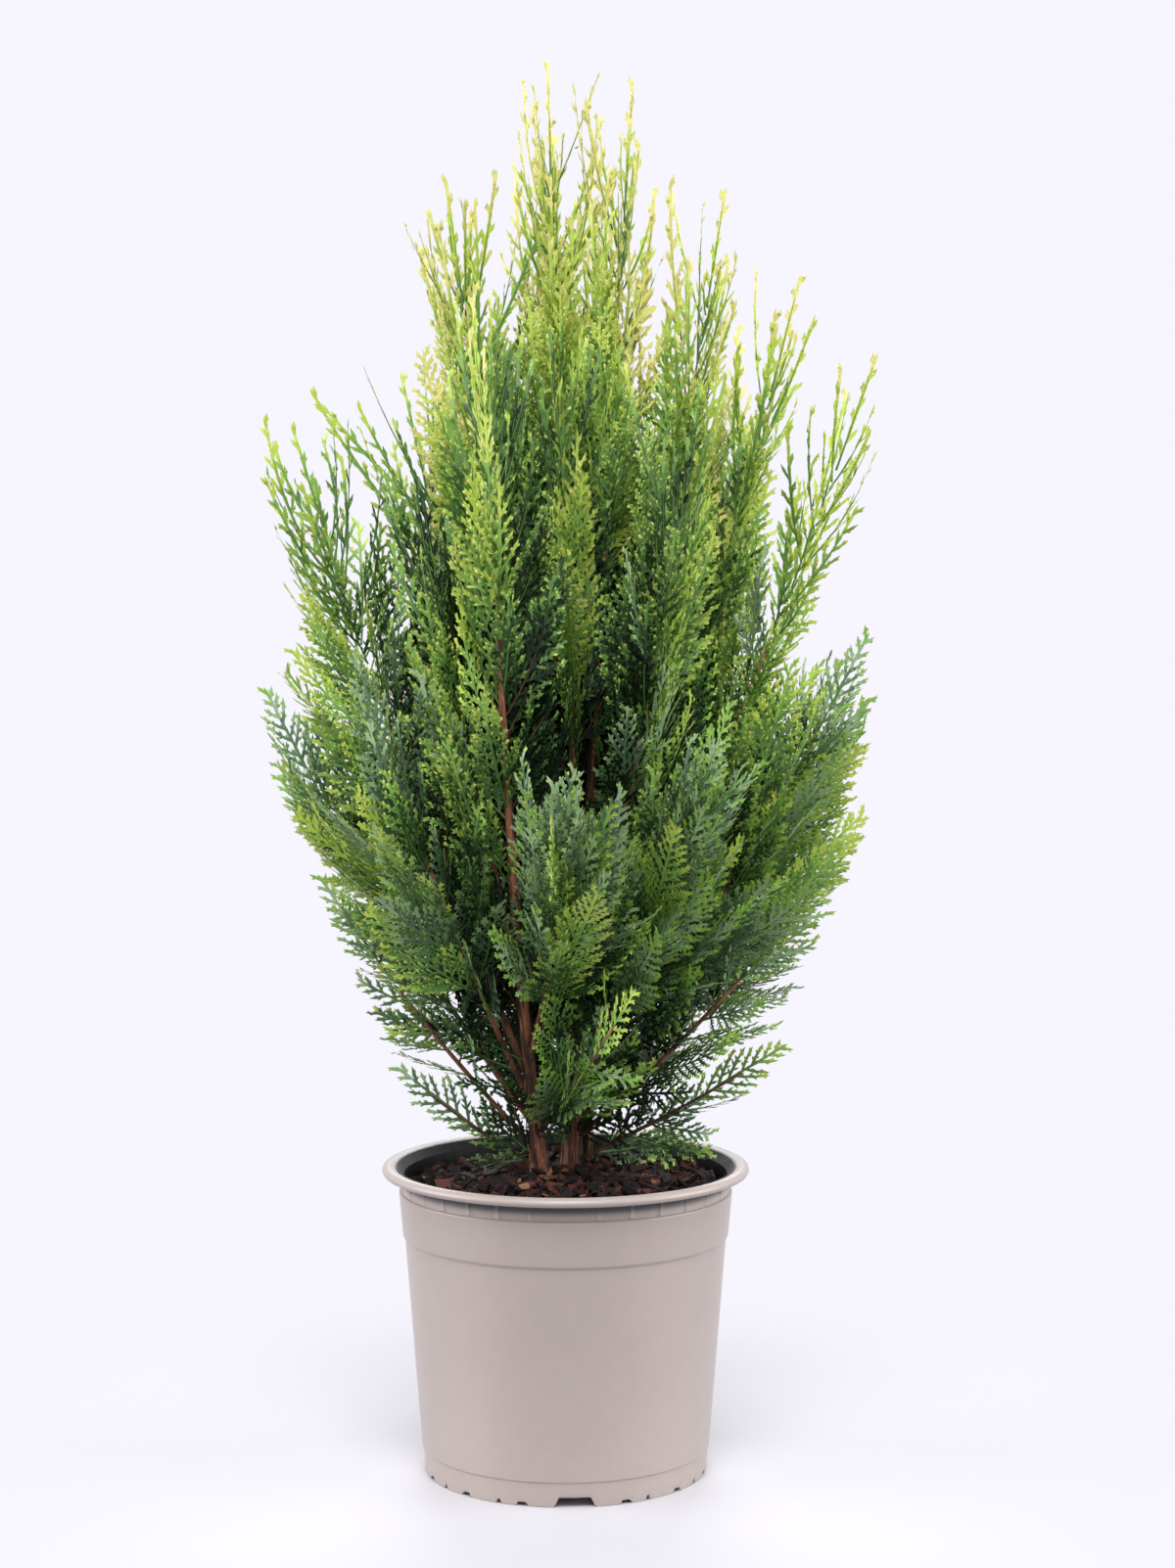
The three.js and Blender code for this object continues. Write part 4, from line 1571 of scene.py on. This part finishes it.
        fan = shoot.reach * swell * lerp(*habit.fan_lengths, share)
        fan = fan * random.uniform(*habit.uneven_fans, count)
        fan = fan * shoot.full ** 0.5 * lerp(1.0, habit.tall_fans, tall)
        length = lerp(fan, random.uniform(*habit.whip_lengths, count), slender)
        length[-1] = np.linalg.norm(tip - root[-1])
        upturn = lerp(lerp(habit.fan_upturn, habit.deep_upturn, deep), habit.whip_upturn, slender)
        upturn = upturn + random.normal(0.0, habit.uneven_upturn, count)
        bend = (upturn * (share < 1.0))[:, None] * lift
        below = random.uniform(0.0, habit.below_top, count)
        length = self.trimmed(root, heading + bend, length, tip[2] + shoot.headroom, below)
        end = root + (heading + bend) * length[:, None]
        light, gain, bloom = self.sunlight.fall(self.outline, end, facing, slender, shoot, random)
        kept = (slender < habit.whip_from) | (random.random(count) < habit.whips_kept)
        kept[-1] = True
        return Axes(
            root=root, heading=heading, bend=bend, flat=flat, length=length, slender=slender,
            light=light, gain=gain, bloom=random.random(count) < bloom,
        ).chosen(kept)

    def feathers(self, shoot: Shoot, path: RisingPath, random: Random) -> Axes:
        """Set short shaded sprays along the inner part of one shoot, below its plume.

        Args:
            shoot: The stem, bough or low shoot.
            path: Its path.
            random: Random numbers.

        Returns:
            Its inner sprays.
        """
        inner = self.inner
        end = inner.last * shoot.bare
        count = max(1, int(path.length * (end - inner.first) / inner.pitch * shoot.full))
        share = spaced(count, random)
        lean = np.radians(random.uniform(*inner.leans, count))
        at = lerp(inner.first, end, share ** inner.crowding_power)
        root, heading, lift, flat, facing = self.spread(path, at, lean, random)
        length = random.uniform(*inner.lengths, count)
        length *= np.where((root + heading * length[:, None])[:, 2] < inner.lowest, inner.cut, 1.0)
        bend = random.normal(*inner.bend, (count, 1)) * lift
        light = random.normal(*inner.light, count)
        light += inner.facing_light * smoothstep(inner.facing_band, facing)
        return Axes(
            root=root, heading=heading, bend=bend, flat=flat, length=length, slender=np.zeros(count),
            light=light, gain=random.uniform(*inner.gains, count), bloom=random.random(count) < inner.bloom,
        )

    def stands_clear(self, sprays: Axes, framework: Framework) -> Array:
        """Tell which sprays leave the stems in sight where they show between the plumes.

        Args:
            sprays: The sprays.
            framework: The paths of the stems.

        Returns:
            Whether each spray may stay.
        """
        rows = np.arange(len(sprays.root))
        clear = np.full(len(rows), True)
        for name, low, high, aside in WINDOWS:
            stem = framework.paths[name].points
            for share in (0.15, 0.4, 0.65, 0.9):
                point = sprays.point(rows, np.full(len(rows), share))
                height = point[:, 2]
                middle, depth = (np.interp(height, stem[:, 2], stem[:, axis]) for axis in (0, 1))
                before = (np.abs(point[:, 0] - middle) < aside) & (point[:, 1] < depth)
                clear &= ~(before & (height > low) & (height < high))
        return clear

    def grow_sprays(self, framework: Framework) -> Axes:
        """Grow the sprays of every shoot.

        Args:
            framework: The paths of the shoots.

        Returns:
            All the crown's sprays.
        """
        plumes = []
        for number, shoot in enumerate(SHOOTS):
            random = np.random.default_rng([self.seed, number])
            plumes.append(self.plume(shoot, framework.paths[shoot.name], random))
            if shoot.bare:
                plumes.append(self.feathers(shoot, framework.paths[shoot.name], random))
        keys = vars(plumes[0])
        sprays = Axes(**{key: np.concatenate([getattr(plume, key) for plume in plumes]) for key in keys})
        clear = self.stands_clear(sprays, framework)
        LOG.info("%d sprays, %d left out in front of stems", len(clear), np.count_nonzero(~clear))
        return sprays.chosen(clear)

    def tones(self, light: Array, bloom: Array) -> Array:
        """Deal out tones by sunlight and bloom.

        Args:
            light: How sunlit each strap is.
            bloom: Whether its spray has a blue-green bloom.

        Returns:
            The number of each strap's tone.
        """
        numbers = list(Tone)
        level = np.searchsorted(self.tone_steps, light)
        rows = ([numbers.index(tone) for tone in row] for row in (self.sunny, self.misty))
        plain, bloomed = (np.array(row)[level] for row in rows)
        return np.where(bloom, bloomed, plain)

    def clothe(self, heap: LeafHeap, axes: Axes, start: float, random: Random) -> None:
        """Clothe axes in a chain of straps.

        Args:
            heap: Where the straps go.
            axes: The axes.
            start: The share of each axis that stays bare.
            random: Random numbers.
        """
        counts = np.maximum(1, np.round(axes.length * (1.0 - start) / self.link)).astype(int)
        row, place = count_up(counts)
        step = (1.0 - start) / counts[row]
        share, slender = start + step * place, axes.slender[row]
        above = unit(axes.flat[row] + random.normal(0.0, self.uneven_face, (len(row), 3)))
        light = axes.light_at(row, share + 0.5 * step) - lerp(*self.dulled, slender)
        tone = self.tones(light, axes.bloom[row])
        length = axes.length[row] * step * self.overlap
        width = lerp(*self.strap_widths, slender) * random.uniform(0.9, 1.1, len(row))
        ahead = axes.direction(row, share + 0.5 * step)
        heap.add(axes.point(row, share), ahead, above, length, width, tone, tone)

    def clothe_shoots(self, heap: LeafHeap, axes: Axes, random: Random) -> None:
        """Make each of the finest shoots one strap.

        Args:
            heap: Where the straps go.
            axes: The finest shoots.
            random: Random numbers.
        """
        above = unit(axes.flat + random.normal(0.0, self.uneven_face, axes.root.shape))
        wide = smoothstep(self.narrowed_band, axes.root[:, 2])
        width = lerp(*self.strap_widths, axes.slender)
        width *= random.uniform(0.85, 1.1, len(axes.root)) * lerp(self.narrowed, 1.0, wide)
        light = axes.light + random.normal(0.0, self.uneven_light, len(axes.root))
        lift = self.tip_lift * lerp(*self.tip_lifts, smoothstep(self.tip_lift_band, axes.light))
        tone, lighter = self.tones(light, axes.bloom), self.tones(light + lift, axes.bloom)
        heap.add(axes.root, axes.heading, above, axes.length, width, tone, lighter)

    def build_twigs(self, name: str, axes: Axes, chosen: Array) -> Object:
        """Make the bare lower parts of sprays as thin twigs.

        Args:
            name: The piece's name.
            axes: The sprays.
            chosen: Whether each spray has such a twig.

        Returns:
            The joined twigs.
        """
        rows = np.flatnonzero(chosen)
        rings, sides = self.twig_rings, self.twig_sides
        row, place = count_up(np.full(len(rows), rings))
        row = rows[row]
        share = place / (rings - 1) * lerp(*self.twig_ends, axes.slender[row])
        aside = axes.flat[row]
        above = unit(np.cross(axes.direction(row, share), aside))
        radius = self.twig_radius * (1.0 - self.twig_taper * share)
        around = swung(bearings(sides), aside[:, None], above[:, None])
        corners = axes.point(row, share)[:, None] + radius[:, None, None] * around
        faces = grid_faces(rings, sides)[None] + (np.arange(len(rows)) * rings * sides)[:, None, None]
        return joined_mesh(name, corners.reshape(-1, 3), [faces.reshape(-1, 4)])

    def build_and_dress(self, framework: Framework) -> None:
        """Grow the crown and dress it tone by tone, in the place of the plume solids.

        Args:
            framework: The paths of the shoots.
        """
        random = np.random.default_rng(self.seed + 1)
        sprays = self.grow_sprays(framework)
        branchlets = self.branchlets.grow(sprays, random)
        shoots = self.shoots.grow(branchlets, random)
        heap = LeafHeap()
        self.clothe(heap, sprays, self.spray_bare, random)
        self.clothe(heap, branchlets, 0.0, random)
        self.clothe_shoots(heap, shoots, random)
        nodes = [f"plume_{shoot.name}" for shoot in SHOOTS]
        for number, tone in enumerate(Tone):
            _, slot, specular = tone.value
            name = f"scale_leaves_{tone.name.lower()}"
            material = PlainFinish(name, tone.colour, self.leaf_roughness, specular).material()
            for piece in heap.build(tone, number):
                settle(piece, material, slot, *nodes)
                nodes = []
        slender_from, light_from = self.green_from
        green = (sprays.slender > slender_from) | (sprays.light > light_from)
        settle(self.build_twigs("twigs_green", sprays, green), self.green_twigs.material(), "foliage_green")
        settle(self.build_twigs("twigs_brown", sprays, ~green), self.brown_twigs.material(), "bark")


# The studio


@dataclass(frozen=True)
class Lamp:
    """One large soft lamp."""

    name: str
    place: tuple[float, float, float]
    size: float
    power: float

    def build(self, aim_height: float) -> None:
        """Hang the lamp and aim it.

        Args:
            aim_height: The height on the pot's axis that it shines at.
        """
        data = bpy.data.lights.new(f"{self.name}_lamp", "AREA")
        data.energy = self.power
        data.size = self.size
        lamp = bpy.data.objects.new(data.name, data)
        lamp.location = self.place
        aim = Vector((0.0, 0.0, aim_height)) - lamp.location
        lamp.rotation_euler = aim.to_track_quat("-Z", "Y").to_euler()
        bpy.context.scene.collection.objects.link(lamp)


@dataclass
class Studio:
    """A pale floor, soft light and the camera."""

    camera_place: tuple[float, float, float] = (0.0113, -1.561, 0.460)
    camera_pitch_deg: float = 3.8
    focal_pixels: float = 3110.0
    frame_height_pixels: float = 1602.0
    sensor: float = 36.0
    backdrop: Colour = linear((247, 245, 254))
    backdrop_strength: float = 1.0
    room_strength: float = 0.31
    floor_colour: Colour = linear((197, 196, 202))
    floor_roughness: float = 0.6
    floor_inner: float = 0.07
    floor_outer: float = 0.45
    floor_segments: int = 96
    aim_height: float = 0.38
    lamps: tuple[Lamp, ...] = (
        Lamp("left", (-2.5, -0.3, 0.9), 2.0, 62.0),
        Lamp("right", (2.5, -0.3, 0.9), 2.0, 62.0),
        Lamp("top", (0.0, -2.0, 3.2), 1.8, 122.0),
        Lamp("front", (0.0, -2.7, 0.9), 1.6, 10.0),
        Lamp("back", (0.0, 2.6, 1.9), 1.8, 34.0),
    )

    def build_floor(self) -> None:
        """Lay a pale round floor that fades into the backdrop."""
        corners = polar(self.floor_outer, bearings(self.floor_segments), 0.0)
        floor = joined_mesh("studio_floor", corners, [np.arange(self.floor_segments)[None, :]])
        material, graph, shader = principled("pale_floor")
        graph.wire(shader, Base_Color=rgba(self.floor_colour), Roughness=self.floor_roughness)
        distance = graph.node("ShaderNodeVectorMath", {"operation": "LENGTH"})
        graph.feed(distance.inputs[0], graph.node("ShaderNodeTexCoord").outputs["Object"])
        fade = graph.ramp(distance.outputs["Value"], (self.floor_inner, self.floor_outer * 0.95), smooth=True)
        blend = graph.node("ShaderNodeMixShader", Fac=fade)
        graph.feed(blend.inputs[1], shader.outputs["BSDF"])
        graph.feed(blend.inputs[2], graph.node("ShaderNodeBsdfTransparent").outputs["BSDF"])
        graph.wire(material.node_tree.nodes["Material Output"], Surface=blend.outputs["Shader"])
        floor.data.materials.append(material)

    def build_lights(self) -> None:
        """Light the whole room softly, with large lamps on both sides, above, in front and behind."""
        world = bpy.data.worlds.new("white_room")
        world.use_nodes = True
        graph = ShaderGraph(world.node_tree)
        bounced = graph.node("ShaderNodeLightPath").outputs["Is Diffuse Ray"]
        strength = graph.ramp(bounced, (0.0, 1.0), (self.backdrop_strength, self.room_strength))
        graph.wire(world.node_tree.nodes["Background"], Color=rgba(self.backdrop), Strength=strength)
        bpy.context.scene.world = world
        for lamp in self.lamps:
            lamp.build(self.aim_height)

    def build_camera(self) -> None:
        """Set the camera up in front, a little above, looking slightly down."""
        data = bpy.data.cameras.new("camera")
        data.sensor_width = self.sensor
        data.lens = self.focal_pixels / self.frame_height_pixels * self.sensor
        camera = bpy.data.objects.new("camera", data)
        camera.location = self.camera_place
        camera.rotation_euler = (math.radians(90.0 - self.camera_pitch_deg), 0.0, 0.0)
        bpy.context.scene.collection.objects.link(camera)
        bpy.context.scene.camera = camera
        bpy.context.scene.view_settings.view_transform = "Standard"


def main() -> None:
    """Build the studio, the pot, the mulch, the limbs and the crown, in that order."""
    logging.basicConfig(level=logging.INFO, format="%(message)s")
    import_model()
    studio = Studio()
    studio.build_camera()
    studio.build_lights()
    studio.build_floor()
    mottle = mottle_group()
    NurseryPot().build_and_dress(mottle)
    MulchBed().build_and_dress(mottle)
    framework = Framework()
    framework.build_and_dress(mottle)
    BarkStrips().build_and_dress(framework, mottle)
    Crown().build_and_dress(framework)


if __name__ == "__main__":
    main()
